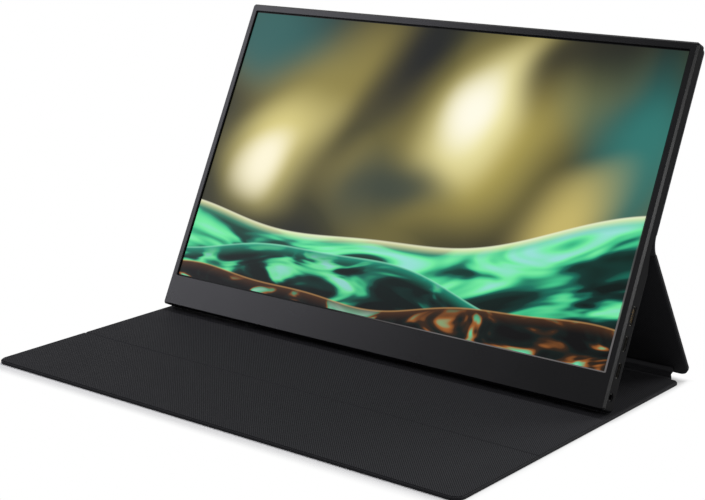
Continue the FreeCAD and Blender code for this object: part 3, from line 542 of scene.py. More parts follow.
# Noise that drifts through the dusk, and noise that draws the threads of light
DRIFT_NOISE = {"Scale": 1.7, "Detail": 1.0, "Roughness": 0.4}
THREAD_NOISE = {"Detail": 2.0, "Roughness": 0.45, "Distortion": 1.3}

# Dull gold and dark drifts behind everything, then blurred lights and shades from back to front
DUSK = ((0.35, "#11171B"), (0.50, "#3B3A22"), (0.65, "#70683B"))
GLOWS = (
    Glow((0.12, 0.95), (0.50, 0.34), -0.3, "#1F5F5E", 0.9),
    Glow((0.42, 0.72), (0.62, 0.34), 0.9, "#978A45", 0.85),
    Glow((0.30, 0.52), (0.36, 0.24), 0.7, "#E3D68A", 0.9),
    Glow((0.26, 0.46), (0.22, 0.12), 0.6, "#FFF8DC", 0.9),
    Glow((0.74, 0.88), (0.55, 0.20), 1.0, "#101415", 0.9),
    Glow((1.12, 0.66), (0.72, 0.42), 0.7, "#C0B05A", 0.9),
    Glow((1.10, 0.72), (0.48, 0.24), 0.8, "#F1E9AC", 0.95),
    Glow((1.06, 0.74), (0.26, 0.14), 0.8, "#FFFBE8", 0.95),
    Glow((0.80, 0.42), (0.34, 0.16), 0.2, "#2A3A36", 0.85),
    Glow((1.45, 0.92), (0.40, 0.20), 0.9, "#14191B", 0.9),
    Glow((1.70, 0.66), (0.34, 0.40), 0.3, "#2F7C75", 0.85),
    Glow((1.48, 0.44), (0.34, 0.14), 0.5, "#D6C472", 0.8),
)

# Colours of the threads of light, from dark to bright
EMERALD_LIGHT = (
    (0.38, "#020C0B"),
    (0.46, "#062F2A"),
    (0.505, "#12705C"),
    (0.545, "#3FC98C"),
    (0.60, "#74F2A4"),
    (0.68, "#9BE6DC"),
)
AMBER_LIGHT = (
    (0.40, "#040404"),
    (0.48, "#0B1A17"),
    (0.52, "#3A2412"),
    (0.56, "#A8642C"),
    (0.61, "#5FD6A0"),
    (0.70, "#BFF5DC"),
)

# Two emerald veils and an amber one, from back to front
VEILS = (
    Veil(
        base=0.22,
        climb=0.11,
        swell=(0.07, 2.7),
        ripple=(0.016, 6.9),
        phase=2.3,
        soft=0.007,
        depth=0.25,
        stops=((0.0, "#FBF8DC"), (0.05, "#D8DFA8"), (0.12, "#4FB893"), (0.3, "#14745E"), (1.0, "#04221D")),
        threads=(2.4, 3.0),
        light=EMERALD_LIGHT,
        share=0.9,
    ),
    Veil(
        base=0.16,
        climb=-0.02,
        swell=(0.05, 3.6),
        ripple=(0.012, 8.8),
        phase=5.2,
        soft=0.006,
        depth=0.16,
        stops=((0.0, "#9CF5CF"), (0.06, "#158E74"), (0.3, "#06302A"), (1.0, "#020807")),
        threads=(3.4, 3.0),
        light=EMERALD_LIGHT,
        share=0.8,
    ),
    Veil(
        base=0.02,
        climb=0.05,
        swell=(0.03, 4.4),
        ripple=(0.008, 11.0),
        phase=1.2,
        soft=0.006,
        depth=0.10,
        stops=((0.0, "#E8B06A"), (0.08, "#4A2C16"), (0.4, "#0A0A09"), (1.0, "#020202")),
        threads=(5.0, 2.2),
        light=AMBER_LIGHT,
        share=0.85,
    ),
)


@dataclass(frozen=True)
class LitPicture(Finish):
    """A liquid-crystal display under an anti-glare film: a lit picture, a black mask round it, little gloss,
    and a glowing painted highlight on the mask along two edges.

    Attributes:
        corner: Lower left corner of the picture in the monitor's frame, in metres.
        size: Width and height of the picture, in metres.
        bend: How far the drift bends the blurred lights, in heights of the picture.
        mask: Colour of the mask as an sRGB hex value.
        painted_glint: Colour of a glowing painted highlight beside the picture, which stands in for the
            lamps' glint on the bezel window's edge.
        painted_glint_span: Where it starts and is full along the lower edge, as shares of the width.
        painted_glint_rise: Where it ends and is full up the right edge, in heights of the picture.
        painted_glint_width: Width of the painted highlight up the right edge, in metres.
    """

    emission: float = 1.0
    corner: tuple[float, float] = (0.0, 0.0)
    size: tuple[float, float] = (1.0, 1.0)
    bend: float = 0.4
    mask: str = "#000000"
    painted_glint: str = "#646161"
    painted_glint_span: tuple[float, float] = (0.4, 0.65)
    painted_glint_rise: tuple[float, float] = (0.5, 0.1)
    painted_glint_width: float = 0.8 * MM

    @property
    def aspect(self) -> float:
        """Width of the picture, in its heights."""
        return self.size[0] / self.size[1]

    def paint(self, tree: Tree, shader: Node) -> None:
        """Adds blurred light, silky veils in front of it, the black mask and a glowing painted highlight
        beside the picture.

        Args:
            tree: Node tree that takes the nodes.
            shader: Shader that they feed.
        """
        canvas, colour = self.start(tree)
        for layer in (*GLOWS, *VEILS):
            colour = layer.lay(canvas, colour)
        masking = {MIX_FACTOR: self.inside(canvas), MIX_A: linear(self.mask), MIX_B: colour}
        masked = add_node(tree, "Mix", masking, data_type="RGBA").outputs[MIX_RESULT]
        # Painted highlight: a glowing pale line beside the picture stands in for the lamps' glint on the
        # bezel window's edge
        glint_mix = {MIX_FACTOR: self.painted_glint_share(canvas), MIX_A: masked, MIX_B: linear(self.painted_glint)}
        shown = add_node(tree, "Mix", glint_mix, data_type="RGBA")
        tree.links.new(shown.outputs[MIX_RESULT], shader.inputs["Emission Color"])

    def start(self, tree: Tree) -> tuple[Canvas, Node]:
        """Lays the picture out on the display and paints its dusk.

        Args:
            tree: Node tree that takes the nodes.

        Returns:
            The picture to paint on and the colour of the dusk.
        """
        height = self.size[1]
        placing = {
            "Vector": add_node(tree, "TexCoord").outputs["Object"],
            "Location": MONITOR.matrix @ Vector((*self.corner, 0.0)),
            "Rotation": (MONITOR.pitch, 0.0, 0.0),
            "Scale": (height, height, height),
        }
        place = add_node(tree, "Mapping", placing, vector_type="TEXTURE")
        flat = add_node(tree, "SeparateXYZ", {0: place}).outputs
        drift = add_node(tree, "TexNoise", {"Vector": place, **DRIFT_NOISE})
        bending = {0: drift.outputs[1], 1: (self.bend, self.bend, 0.0), 2: place}
        bent = add_node(tree, "VectorMath", bending, operation="MULTIPLY_ADD")
        centring = {0: bent, 1: (self.bend / 2, self.bend / 2, 0.0)}
        drifted = add_node(tree, "VectorMath", centring, operation="SUBTRACT")
        dusk = add_node(tree, "ValToRGB", {0: drift}, stops=DUSK)
        return Canvas(tree, flat[0], flat[1], drifted), dusk

    def painted_glint_share(self, canvas: Canvas) -> Node:
        """Share of the painted highlight along the lower edge's right half and up the right edge, which
        stands in for the lamps' glint on the bezel window's edge.

        Args:
            canvas: The picture.

        Returns:
            The share, 0 away from those edges.
        """
        start, full = (share * self.aspect for share in self.painted_glint_span)
        strip = self.aspect - self.painted_glint_width / self.size[1]
        edges = (
            (canvas.across, start, full, canvas.up, 0.0, "LESS_THAN"),
            (canvas.up, *self.painted_glint_rise, canvas.across, strip, "GREATER_THAN"),
        )
        shares = []
        for along, none, most, beside, limit, side in edges:
            grow = add_node(canvas.tree, "MapRange", {"Value": along, "From Min": none, "From Max": most})
            past = add_node(canvas.tree, "Math", {0: beside, 1: limit}, operation=side)
            shares.append(add_node(canvas.tree, "Math", {0: grow, 1: past}, operation="MULTIPLY"))
        return add_node(canvas.tree, "Math", {0: shares[0], 1: shares[1]}, operation="MAXIMUM")

    def inside(self, canvas: Canvas) -> Node:
        """Tells the lit picture from the mask round it.

        Args:
            canvas: The picture.

        Returns:
            1 inside the picture and 0 on the mask.
        """
        within = []
        for place, length in ((canvas.across, self.aspect), (canvas.up, 1.0)):
            middle = add_node(canvas.tree, "Math", {0: place, 1: length / 2}, operation="SUBTRACT")
            distance = add_node(canvas.tree, "Math", {0: middle}, operation="ABSOLUTE")
            within.append(add_node(canvas.tree, "Math", {0: distance, 1: length / 2}, operation="LESS_THAN"))
        return add_node(canvas.tree, "Math", {0: within[0], 1: within[1]}, operation="MULTIPLY")


# ABS and polycarbonate blend, moulded on an eroded tool: satin black that greys where light glances
BEZEL_PLASTIC = Moulded("bezel_moulded_abs", "#040405", 0.28, 0.085, tint="#060607")
# The same blend from a coarser tool: a duller black
HOUSING_PLASTIC = Moulded("housing_moulded_abs", "#070708", 0.4, 0.02, tint="#0B0B0C", grain=0.7 * MM)
# Keys of that blend: a little glossier than the wall round them
KEY_PLASTIC = Moulded("key_moulded_abs", "#08080A", 0.34, 0.1, tint="#0C0C0E")
# Moulded nylon in the sockets: deep black with a dull shine
JACK_NYLON = Moulded("jack_moulded_nylon", "#050506", 0.35, 0.15, tint="#080809")
TONGUE_NYLON = Moulded("tongue_moulded_nylon", "#050506", 0.4, 0.15, tint="#080809")
# Plain ABS of inner parts: matt charcoal
SPEAKER_CASE = Moulded("speaker_moulded_abs", "#0B0B0C", 0.5, 0.2)
CARRIER_PLASTIC = Moulded("magnet_carrier_abs", "#0B0B0C", 0.6, 0.2)
# Embossed leatherette outside: a dark twill without shine, with painted shade in its hollows
COVER_SKIN = Leatherette("cover_leatherette", "#08080A", 0.66, 0.06, tint="#1C1C1E")
# Embossed leatherette inside: a deeper twill, its hollows painted near black as shade and its ridges paler,
# which greys the flap
COVER_LINING = Leatherette("lining_leatherette", "#020203", 0.7, 0.02, tint="#28282A", relief=0.16 * MM)
# Plated steel shells: dark grey, bright only at their edges
SOCKET_STEEL = SheetMetal("socket_plated_steel", "#5E5C58", 0.35, tint="#7A7771")
# Tinned sheet steel: pale and silky
SHIELD_STEEL = SheetMetal("tinned_sheet_steel", "#A9A9A6", 0.35, tint="#C6C6C2")
# Rolled aluminium: paler, with broader rolling streaks
TRAY_ALUMINIUM = SheetMetal("tray_rolled_aluminium", "#B3B6BA", 0.35, tint="#CFD2D6", streak=0.8 * MM)
# Gold plate: small warm glints in the dark sockets
CONTACT_GOLD = SheetMetal("contact_gold_plate", "#D9A441", 0.25, tint="#F0C467", streak=0.2 * MM)
# Black oxide on steel: nearly black with a metal's glint
SCREW_STEEL = SheetMetal("screw_black_oxide", "#2A2A2B", 0.4, tint="#3A3A3A", streak=0.2 * MM)
# Nickel plate: warm grey and glossy
MAGNET_NICKEL = SheetMetal("magnet_nickel_plate", "#9C9A95", 0.25, tint="#B9B6AF")
# Frosted films, milky and even; clear acrylic, pale and glossy; foamed white film, bright and plain
OPTICAL_FILM = Speckled("optical_frosted_film", "#E2E4E6", 0.5, patch=0.6 * MM, tint="#EEF0F2")
CLEAR_ACRYLIC = Speckled("light_guide_acrylic", "#DCE6EA", 0.12, patch=1.2 * MM, tint="#F0F6F8")
WHITE_FILM = Speckled("reflector_white_film", "#F2F2EF", 0.35, patch=3 * MM, tint="#E8E8E4")
# Lamps under yellow phosphor: cream with yellow patches
LAMP_STRIP = Speckled("lamp_strip", "#F3EDC8", 0.4, patch=3 * MM, tint="#E5D27A")
# Black polyester film: smooth and dark
BLACK_FILM = Speckled("insulating_black_film", "#0B0B0C", 0.4, patch=5 * MM, tint="#121213")
# Green solder mask over glass fibre, and amber polyimide: both slightly mottled and glossy
SOLDER_MASK = Speckled("board_solder_mask", "#0B3A22", 0.35, patch=1.5 * MM, tint="#125433")
POLYIMIDE = Speckled("flex_polyimide", "#8A5218", 0.3, patch=1 * MM, tint="#B4762A")
# Filled epoxy: matt black with fine specks
CHIP_RESIN = Speckled("chip_epoxy", "#0D0D0E", 0.55, patch=0.3 * MM, tint="#1A1A1B")
# Pressed fibre board: rough brown with pale fibres
FIBRE_BOARD = Speckled("cover_fibre_board", "#6E5C48", 0.85, patch=0.8 * MM, tint="#86735C")


# Mesh helpers


def points_of(made: dict) -> list[bmesh.types.BMVert]:
    """The vertices among what an operator made."""
    return [p for p in made["geom"] if isinstance(p, bmesh.types.BMVert)]


def rounded_plate(outline: Sequence[Corner], low: float, high: float, segments: int = 10) -> Mesh:
    """Makes a plate with rounded upright edges.

    Args:
        outline: Its corners in turn: x, y and radius.
        low: Level of its underside.
        high: Level of its top.
        segments: Faces to a rounded corner.

    Returns:
        The new bmesh.
    """
    mesh = bmesh.new()
    corners = [mesh.verts.new((x, y, low)) for x, y, _ in outline]
    mesh.faces.new(corners)
    for corner, (_, _, radius) in zip(corners, outline):
        bmesh.ops.bevel(
            mesh,
            geom=[corner],
            offset=radius,
            affect="VERTICES",
            segments=segments,
            profile=0.5,
            material=-1,
        )
    raised = bmesh.ops.extrude_face_region(mesh, geom=mesh.faces[:])
    bmesh.ops.translate(mesh, verts=points_of(raised), vec=(0.0, 0.0, high - low))
    bmesh.ops.recalc_face_normals(mesh, faces=mesh.faces[:])
    return mesh


def soften(mesh: Mesh, edges: Sequence[bmesh.types.BMEdge], radius: float, segments: int = 3) -> None:
    """Rounds edges and shades the new faces smooth.

    Args:
        mesh: Mesh that is changed.
        edges: Its edges to round.
        radius: Radius of the rounding.
        segments: Faces across it.
    """
    made = bmesh.ops.bevel(
        mesh,
        geom=list(edges),
        offset=radius,
        affect="EDGES",
        segments=segments,
        profile=0.5,
        material=-1,
        clamp_overlap=True,
    )
    for face in made["faces"]:
        face.smooth = True


def rim(mesh: Mesh, level: float) -> list[bmesh.types.BMEdge]:
    """Edges that lie at one level of z."""
    return [e for e in mesh.edges if all(abs(v.co.z - level) < MERGED for v in e.verts)]


def pressed(along: float) -> float:
    """Share of a pressed groove's depth, from one side of it at -1 to the other at 1."""
    return math.cos(along * math.pi / 2) ** 2


def lay_weave(mesh: Mesh) -> None:
    """Gives a flat piece a cloth map in metres, from its own x and y, with its edges folded out.

    Args:
        mesh: Mesh that gets the map.
    """
    layer = mesh.loops.layers.uv.new(WEAVE_MAP)
    for face in mesh.faces:
        for loop in face.loops:
            place = loop.vert.co
            loop[layer].uv = (place.x + place.z, place.y + place.z)


def to_object(mesh: Mesh, name: str, material: bpy.types.Material) -> bpy.types.Object:
    """Turns a bmesh into an object of the scene.

    Args:
        mesh: The shape; it is freed.
        name: Name of the object.
        material: Its material.

    Returns:
        The object.
    """
    data = bpy.data.meshes.new(name)
    mesh.to_mesh(data)
    mesh.free()
    data.materials.append(material)
    made = bpy.data.objects.new(name, data)
    bpy.context.scene.collection.objects.link(made)
    return made


def finished(mesh: Mesh, name: str, place: Matrix, finish: Finish) -> bpy.types.Object:
    """Turns a bmesh into a piece at its place.

    Args:
        mesh: The shape in its own frame; it is freed.
        name: Name of the piece.
        place: From that frame to the object's.
        finish: What the piece is made of.

    Returns:
        The piece, which still has to ride on a body.
    """
    bmesh.ops.transform(mesh, matrix=place, verts=mesh.verts[:])
    piece = to_object(mesh, name, finish.material())
    LOG.info("%s: %d faces", name, len(piece.data.polygons))
    return piece


def dress(finish: Finish, *nodes: str) -> None:
    """Gives CAD nodes their finish.

    Args:
        finish: What they are made of.
        nodes: Names of the nodes.
    """
    for node in nodes:
        piece = frame["nodes"][node]
        if not piece.material_slots:
            piece.data.materials.append(None)
        for slot in piece.material_slots:
            slot.material = finish.material()
        LOG.info("%s: %s", node, finish.name)


# Folio cover


@dataclass
class CoverPanel:
    """A stiff leaf of the folio: a skin turned round a board, and a lining on its inner face.

    Attributes:
        name: Start of its nodes' names.
        body: Body that it rides on.
        leaf: Its own frame.
        low_radius: Corners at the low end of its y, in metres.
        high_radius: Corners at the high end.
        notch: How far the fold at its low end is let into it.
        turned_edge: Rounding of the skin where it turns up.
        turned_faces: Faces across that rounding.
        lining_inset: Lining inside the skin's edge.
        inner_edge: Rounding of the rim on the inner face, of skin and lining alike.
        least_radius: Smallest rounding of a corner.
    """

    name: str
    body: Body
    leaf: Leaf
    low_radius: float = 0.5 * MM
    high_radius: float = 0.5 * MM
    notch: float = 0.0
    turned_edge: float = 0.75 * MM
    turned_faces: int = 4
    lining_inset: float = 0.6 * MM
    inner_edge: float = 0.3 * MM
    least_radius: float = 0.2 * MM

    @property
    def skins(self) -> tuple[str, ...]:
        """CAD nodes of its skin."""
        return (self.name + "_skin",)

    @property
    def linings(self) -> tuple[str, ...]:
        """CAD nodes of its lining."""
        return (self.name + "_lining",)

    def outline(self, low: Vector, high: Vector, inset: float) -> list[Corner]:
        """Works out the panel's corners.

        Args:
            low: Lowest corner of the panel.
            high: Highest corner.
            inset: How far inside its edge the outline runs.

        Returns:
            x, y and radius of each corner in turn.
        """
        left, right = low.x + inset, high.x - inset
        near, far = low.y + inset, high.y - inset
        first, last = (max(r - inset, self.least_radius) for r in (self.low_radius, self.high_radius))
        return [(left, near, first), (right, near, first), (right, far, last), (left, far, last)]

    def end(self, far: bool) -> Vector:
        """Finds the middle of one of the panel's ends, half way through its thickness.

        Args:
            far: Whether it is the end with the highest y.

        Returns:
            The point, in metres.
        """
        low, high = self.leaf.extent(*self.skins, *self.linings)
        place = high.y if far else low.y + self.notch
        return self.leaf.matrix @ Vector((0.0, place, (low.z + high.z) / 2))

    def shape(self, mesh: Mesh) -> None:
        """Last changes to a sheet before it gets its cloth map."""

    def attach(self, piece: bpy.types.Object) -> None:
        """Lets a finished piece move with the panel."""
        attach(piece, self.body.value)

    def build(self) -> None:
        """Makes the turned skin and the lining."""
        self.sheet("_turned_skin", self.skins, COVER_SKIN, 0.0, self.turned_edge)
        self.sheet("_pressed_lining", self.linings, COVER_LINING, self.lining_inset, 0.0)

    def sheet(
        self, ending: str, nodes: tuple[str, ...], finish: Finish, inset: float, turned: float
    ) -> None:
        """Makes one sheet of the panel.

        Args:
            ending: End of the piece's name.
            nodes: CAD nodes that it replaces.
            finish: What it is made of.
            inset: How far inside the panel's edge it ends.
            turned: Rounding of its outer edge, or 0 for none.
        """
        low, high = self.leaf.extent(*nodes)
        mesh = rounded_plate(self.outline(low, high, inset), low.z, high.z)
        if turned:
            soften(mesh, rim(mesh, low.z), turned, self.turned_faces)
        soften(mesh, rim(mesh, high.z), self.inner_edge)
        self.shape(mesh)
        lay_weave(mesh)
        piece = finished(mesh, self.name + ending, self.leaf.matrix, finish)
        self.attach(piece)
        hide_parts(*nodes)


@dataclass
class Flap(CoverPanel):
    """The flap on the table: two boards in one sleeve, with a pressed crease between them.

    Attributes:
        groove: Depth of the pressed crease, in metres.
        cuts: Rows of faces across the crease.
    """

    groove: float = 0.42 * MM
    cuts: int = 14

    @property
    def skins(self) -> tuple[str, ...]:
        """CAD nodes of both boards' skins."""
        return ("flap_front_skin", "flap_rear_skin")

    @property
    def linings(self) -> tuple[str, ...]:
        """CAD nodes of both linings and of the crease between them."""
        return ("flap_front_lining", "flap_rear_lining", "crease_strip")

    @property
    def crease(self) -> tuple[Vector, Vector]:
        """Finds the stretch that bends.

        Returns:
            The middle of its front end and of its rear end, in metres.
        """
        low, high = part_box("crease_strip")
        level = (low.z + high.z) / 2
        return Vector((0.0, low.y, level)), Vector((0.0, high.y, level))

    def shape(self, mesh: Mesh) -> None:
        """Cuts the sheet across at the crease and presses the crease into its top.

        Args:
            mesh: Mesh that is changed.
        """
        start, end = self.crease
        middle, half = (start.y + end.y) / 2, (end.y - start.y) / 2
        for number in range(self.cuts + 1):
            level = start.y + 2 * half * number / self.cuts
            bmesh.ops.bisect_plane(
                mesh,
                geom=mesh.verts[:] + mesh.edges[:] + mesh.faces[:],
                dist=ON_CUT,
                plane_co=(0.0, level, 0.0),
                plane_no=(0.0, 1.0, 0.0),
            )
        top = max(v.co.z for v in mesh.verts)
        for point in mesh.verts:
            along = abs(point.co.y - middle) / half
            if along < 1 and top - point.co.z < self.inner_edge:
                point.co.z -= self.groove * pressed(along)
        for face in mesh.faces:
            if abs(face.calc_center_median().y - middle) < half:
                face.smooth = True

    def attach(self, piece: bpy.types.Object) -> None:
        """Bakes a piece's place into its mesh; it rides on no body."""
        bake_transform(piece)


@dataclass
class StandPanel(CoverPanel):
    """The rear leg, whose lower corners run on past the narrower fold.

    Attributes:
        ear_gap: Room between those corners and the fold, in metres.
    """

    notch: float = 5.5 * MM
    ear_gap: float = 0.5 * MM

    def outline(self, low: Vector, high: Vector, inset: float) -> list[Corner]:
        """Works out the panel's corners, with the notch of the fold between the lower ones.

        Args:
            low: Lowest corner of the panel.
            high: Highest corner.
            inset: How far inside its edge the outline runs.

        Returns:
            x, y and radius of each corner in turn.
        """
        corners = super().outline(low, high, inset)
        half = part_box("lower_hinge_strip")[1].x + self.ear_gap + inset
        near = low.y + inset
        top = near + self.notch
        small = self.least_radius
        notch = [(-half, near, small), (-half, top, small), (half, top, small), (half, near, small)]
        return corners[:1] + notch + corners[1:]


@dataclass
class SpinePanel(CoverPanel):
    """The spine, whose ends slant in towards the lower fold."""

    def outline(self, low: Vector, high: Vector, inset: float) -> list[Corner]:
        """Works out the panel's corners, nearer together at the fold.

        Args:
            low: Lowest corner of the panel.
            high: Highest corner.
            inset: How far inside its edge the outline runs.

        Returns:
            x, y and radius of each corner in turn.
        """
        corners = super().outline(low, high, inset)
        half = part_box("lower_hinge_strip")[1].x - inset
        far = corners[2][1]
        return corners[:2] + [(half, far, self.least_radius), (-half, far, self.least_radius)]


@dataclass
class HingeCloth:
    """A stretch of cloth without a board, which bends between two panels.

    Attributes:
        node: CAD node that it replaces.
        before: Panel whose high end it starts from.
        after: Panel whose low end it reaches.
        thickness: Of the cloth, in metres.
        dip: Depth of the pressed groove where the cloth lies flat.
        steps: Faces along the bend.
        end_limit: Part of its normal across the cover from which a face is one of the cloth's ends.
        top_limit: Part of its normal upwards from which a face of flat cloth is its top or underside.
    """

    node: str
    before: CoverPanel
    after: CoverPanel
    thickness: float = 1.2 * MM
    dip: float = 0.5 * MM
    steps: int = 16
    end_limit: float = 0.5
    top_limit: float = 0.3

    @property
    def width(self) -> float:
        """Width of the cloth across the cover."""
        low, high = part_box(self.node)
        return high.x - low.x

    def build(self) -> None:
        """Makes the cloth, shaped to reach from one panel to the other, and bakes its place into its mesh.
        """
        start, end = self.before.end(True), self.after.end(False)
        turn = self.after.leaf.pitch - self.before.leaf.pitch
        mesh = self.bent(start, end, turn) if turn else self.flat(start, end)
        piece = finished(mesh, self.node.replace("_strip", "_cloth"), Matrix(), COVER_SKIN)
        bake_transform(piece)
        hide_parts(self.node)

    def bent(self, start: Vector, end: Vector, turn: float) -> Mesh:
        """Bends the cloth so that it leaves both panels along their planes.

        Args:
            start: Middle of the first panel's end, in metres.
            end: Middle of the second panel's end.
            turn: From the first panel's raise to the second's, in radians.

        Returns:
            The cloth's mesh.
        """
        pitch = self.before.leaf.pitch
        radius = (end - start).length / (2 * math.sin(abs(turn) / 2))
        inward = Vector((0.0, -math.sin(pitch), math.cos(pitch)))
        centre = start + inward * math.copysign(radius, turn)
        side = Vector((self.width / 2, 0.0, 0.0))
        out = inward * (self.thickness / 2)
        corners = [start + side * x + out * z for x, z in ((-1, -1), (1, -1), (1, 1), (-1, 1))]
        mesh = bmesh.new()
        section = mesh.faces.new([mesh.verts.new(corner) for corner in corners])
        bmesh.ops.spin(
            mesh,
            geom=[section, *section.edges, *section.verts],
            cent=centre,
            axis=(1.0, 0.0, 0.0),
            angle=turn,
            steps=self.steps,
            use_merge=False,
            use_duplicate=False,
        )
        bmesh.ops.remove_doubles(mesh, verts=mesh.verts[:], dist=MERGED)
        bmesh.ops.recalc_face_normals(mesh, faces=mesh.faces[:])
        layer = mesh.loops.layers.uv.new(WEAVE_MAP)
        for face in mesh.faces:
            face.smooth = abs(face.normal.x) < self.end_limit
            for loop in face.loops:
                arm = loop.vert.co - centre
                loop[layer].uv = (loop.vert.co.x, radius * math.atan2(arm.z, arm.y))
        return mesh

    def flat(self, start: Vector, end: Vector) -> Mesh:
        """Lays the cloth flat with a pressed groove along its middle.

        Args:
            start: Middle of the first panel's end, in metres.
            end: Middle of the second panel's end.

        Returns:
            The cloth's mesh.
        """
        low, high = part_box(self.node)
        half = (end.y - start.y) / 2
        mesh = bmesh.new()
        bmesh.ops.create_grid(mesh, x_segments=1, y_segments=self.steps, size=1.0)
        for point in mesh.verts:
            across, along = point.co.x, point.co.y
            level = high.z - self.dip * pressed(along)
            point.co = (across * self.width / 2, start.y + half * (1 + along), level)
        lowered = bmesh.ops.extrude_face_region(mesh, geom=mesh.faces[:])
        drop = high.z - low.z - self.dip
        bmesh.ops.translate(mesh, verts=points_of(lowered), vec=(0.0, 0.0, -drop))
        bmesh.ops.recalc_face_normals(mesh, faces=mesh.faces[:])
        for face in mesh.faces:
            face.smooth = abs(face.normal.z) > self.top_limit
        lay_weave(mesh)
        return mesh


@dataclass
class FolioCover:
    """The folio: flap, spine, stand and back panel, and the cloth between them.

    Attributes:
        front_radius: Front corners of the flap, in metres.
        rear_radius: Rear corners of the flap.
        stand_radius: Lower corners of the stand.
        back_radius: Upper corners of the back panel.
    """

    front_radius: float = 6.5 * MM
    rear_radius: float = 3.5 * MM
    stand_radius: float = 6.5 * MM
    back_radius: float = 4.0 * MM

    def build(self) -> None:
        """Makes the panels, then the cloth between them, and dresses what is inside."""
        flap = Flap("flap", Body.BASE, TABLE, self.front_radius, self.rear_radius)
        spine = SpinePanel("spine", Body.SPINE, TABLE)
        stand = StandPanel("stand", Body.STAND, STAND, low_radius=self.stand_radius)
        back = CoverPanel("back_panel", Body.MONITOR, MONITOR, high_radius=self.back_radius)
        cloths = (
            HingeCloth("spine_hinge_strip", flap, spine),
            HingeCloth("lower_hinge_strip", spine, stand),
            HingeCloth("upper_hinge_strip", stand, back),
        )
        for part in (flap, spine, stand, back, *cloths):
            part.build()
        dress(FIBRE_BOARD, "back_panel_board", "stand_board", "spine_board")
        dress(FIBRE_BOARD, "flap_rear_board", "flap_front_board")
        dress(CARRIER_PLASTIC, "magnet_plate")
        dress(MAGNET_NICKEL, "closing_magnets")


# Monitor


@dataclass
class Display:
    """The lit panel behind the bezel's window.

    Attributes:
        width: Picture across, in metres.
        height: Picture up.
        chin: Bottom edge of the monitor to the picture.
    """

    width: float = 344.16 * MM
    height: float = 193.59 * MM
    chin: float = 22.1 * MM

    @property
    def lower_edge(self) -> Vector:
        """Middle of the picture's lower edge, level with the bezel's face."""
        _, high = MONITOR.extent("front_bezel")
        return MONITOR.matrix @ Vector((0.0, self.chin, high.z))

    def build(self) -> None:
        """Lights the display cell and dresses the sheets behind it."""
        corner = (-self.width / 2, self.chin)
        size = (self.width, self.height)
        dress(LitPicture("display_lit_picture", "#020202", 0.4, 0.04, corner=corner, size=size), "lcd_cell")
        dress(OPTICAL_FILM, "optical_films")
        dress(CLEAR_ACRYLIC, "light_guide")
        dress(WHITE_FILM, "reflector_sheet")
        dress(LAMP_STRIP, "led_bar")
        dress(TRAY_ALUMINIUM, "panel_tray")
        dress(BLACK_FILM, "insulating_sheet")
        dress(SOLDER_MASK, "panel_driver_board")
        dress(POLYIMIDE, "driver_flexes", "panel_cable")


@dataclass
class Housing:
    """Bezel, rear cover, keys, speakers and the screws that hold them.

    Attributes:
        screw_places: Screws across the back, in metres from its middle.
        screw_height: Screws above the bottom edge.
        head_radius: Radius of a screw's head.
        head_height: Height of that head.
        shank_radius: Radius of the shank.
        arms: Arms of the cross recess.
        arm_length: One arm, from the middle of the cross.
        arm_width: That arm.
        recess: Depth of the cross recess.
        sides: Faces round a screw.
    """

    screw_places: tuple[float, ...] = (-98 * MM, -30 * MM, 30 * MM, 98 * MM)
    screw_height: float = 5 * MM
    head_radius: float = 1.9 * MM
    head_height: float = 0.8 * MM
    shank_radius: float = 1.0 * MM
    arms: int = 4
    arm_length: float = 1.1 * MM
    arm_width: float = 0.5 * MM
    recess: float = 0.5 * MM
    sides: int = 32

    def build(self) -> None:
        """Dresses the housing's CAD nodes and makes the screws."""
        dress(BEZEL_PLASTIC, "front_bezel")
        dress(HOUSING_PLASTIC, "rear_cover")
        dress(KEY_PLASTIC, "power_button", "menu_up_button", "menu_down_button")
        dress(SPEAKER_CASE, "left_speaker", "right_speaker")
        dress(SHIELD_STEEL, "keeper_plates")
        low, high = MONITOR.extent("cover_screws")
        mesh = bmesh.new()
        for place in self.screw_places:
            self.add_screw(mesh, Vector((place, self.screw_height, low.z)), high.z - low.z)
        bmesh.ops.recalc_face_normals(mesh, faces=mesh.faces[:])
        screws = finished(mesh, "cross_recess_screws", MONITOR.matrix, SCREW_STEEL)
        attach(screws, Body.MONITOR.value)
        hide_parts("cover_screws")

    def add_screw(self, mesh: Mesh, face: Vector, length: float) -> None:
        """Adds one screw: a flat head with a cross recess and a shank.

        Args:
            mesh: Mesh that takes it.
            face: Middle of the head's outer face.
            length: Whole length of the screw.
        """
        turns = [2 * math.pi * n / self.sides for n in range(self.sides)]
        edge = [Vector((math.cos(t), math.sin(t), 0.0)) * self.head_radius for t in turns]
        arm, half = self.arm_length, self.arm_width / 2
        quarter = ((arm, -half), (arm, half), (half, half))
        cross = []
        for number in range(self.arms):
            spun = Matrix.Rotation(2 * math.pi * number / self.arms, 3, "Z")
            cross += [spun @ Vector((x, y, 0.0)) for x, y in quarter]
        loops = []
        for outline in (edge, cross):
            points = [mesh.verts.new(face + p) for p in outline]
            pairs = zip(points, points[1:] + points[:1])
            loops.append([mesh.edges.new(pair) for pair in pairs])
        bmesh.ops.triangle_fill(mesh, edges=loops[0] + loops[1], use_beauty=True)
        for loop, depth in zip(loops, (self.head_height, self.recess)):
            sunk = bmesh.ops.extrude_edge_only(mesh, edges=loop)
            bmesh.ops.translate(mesh, verts=points_of(sunk), vec=(0.0, 0.0, depth))
            ends = [e for e in sunk["geom"] if isinstance(e, bmesh.types.BMEdge)]
            bmesh.ops.contextual_create(mesh, geom=ends)
        shank = length - self.head_height
        bmesh.ops.create_cone(
            mesh,
            cap_ends=True,
            segments=self.sides,
            radius1=self.shank_radius,
            radius2=self.shank_radius,
            depth=shank,
            matrix=Matrix.Translation(face + Vector((0.0, 0.0, self.head_height + shank / 2))),
        )


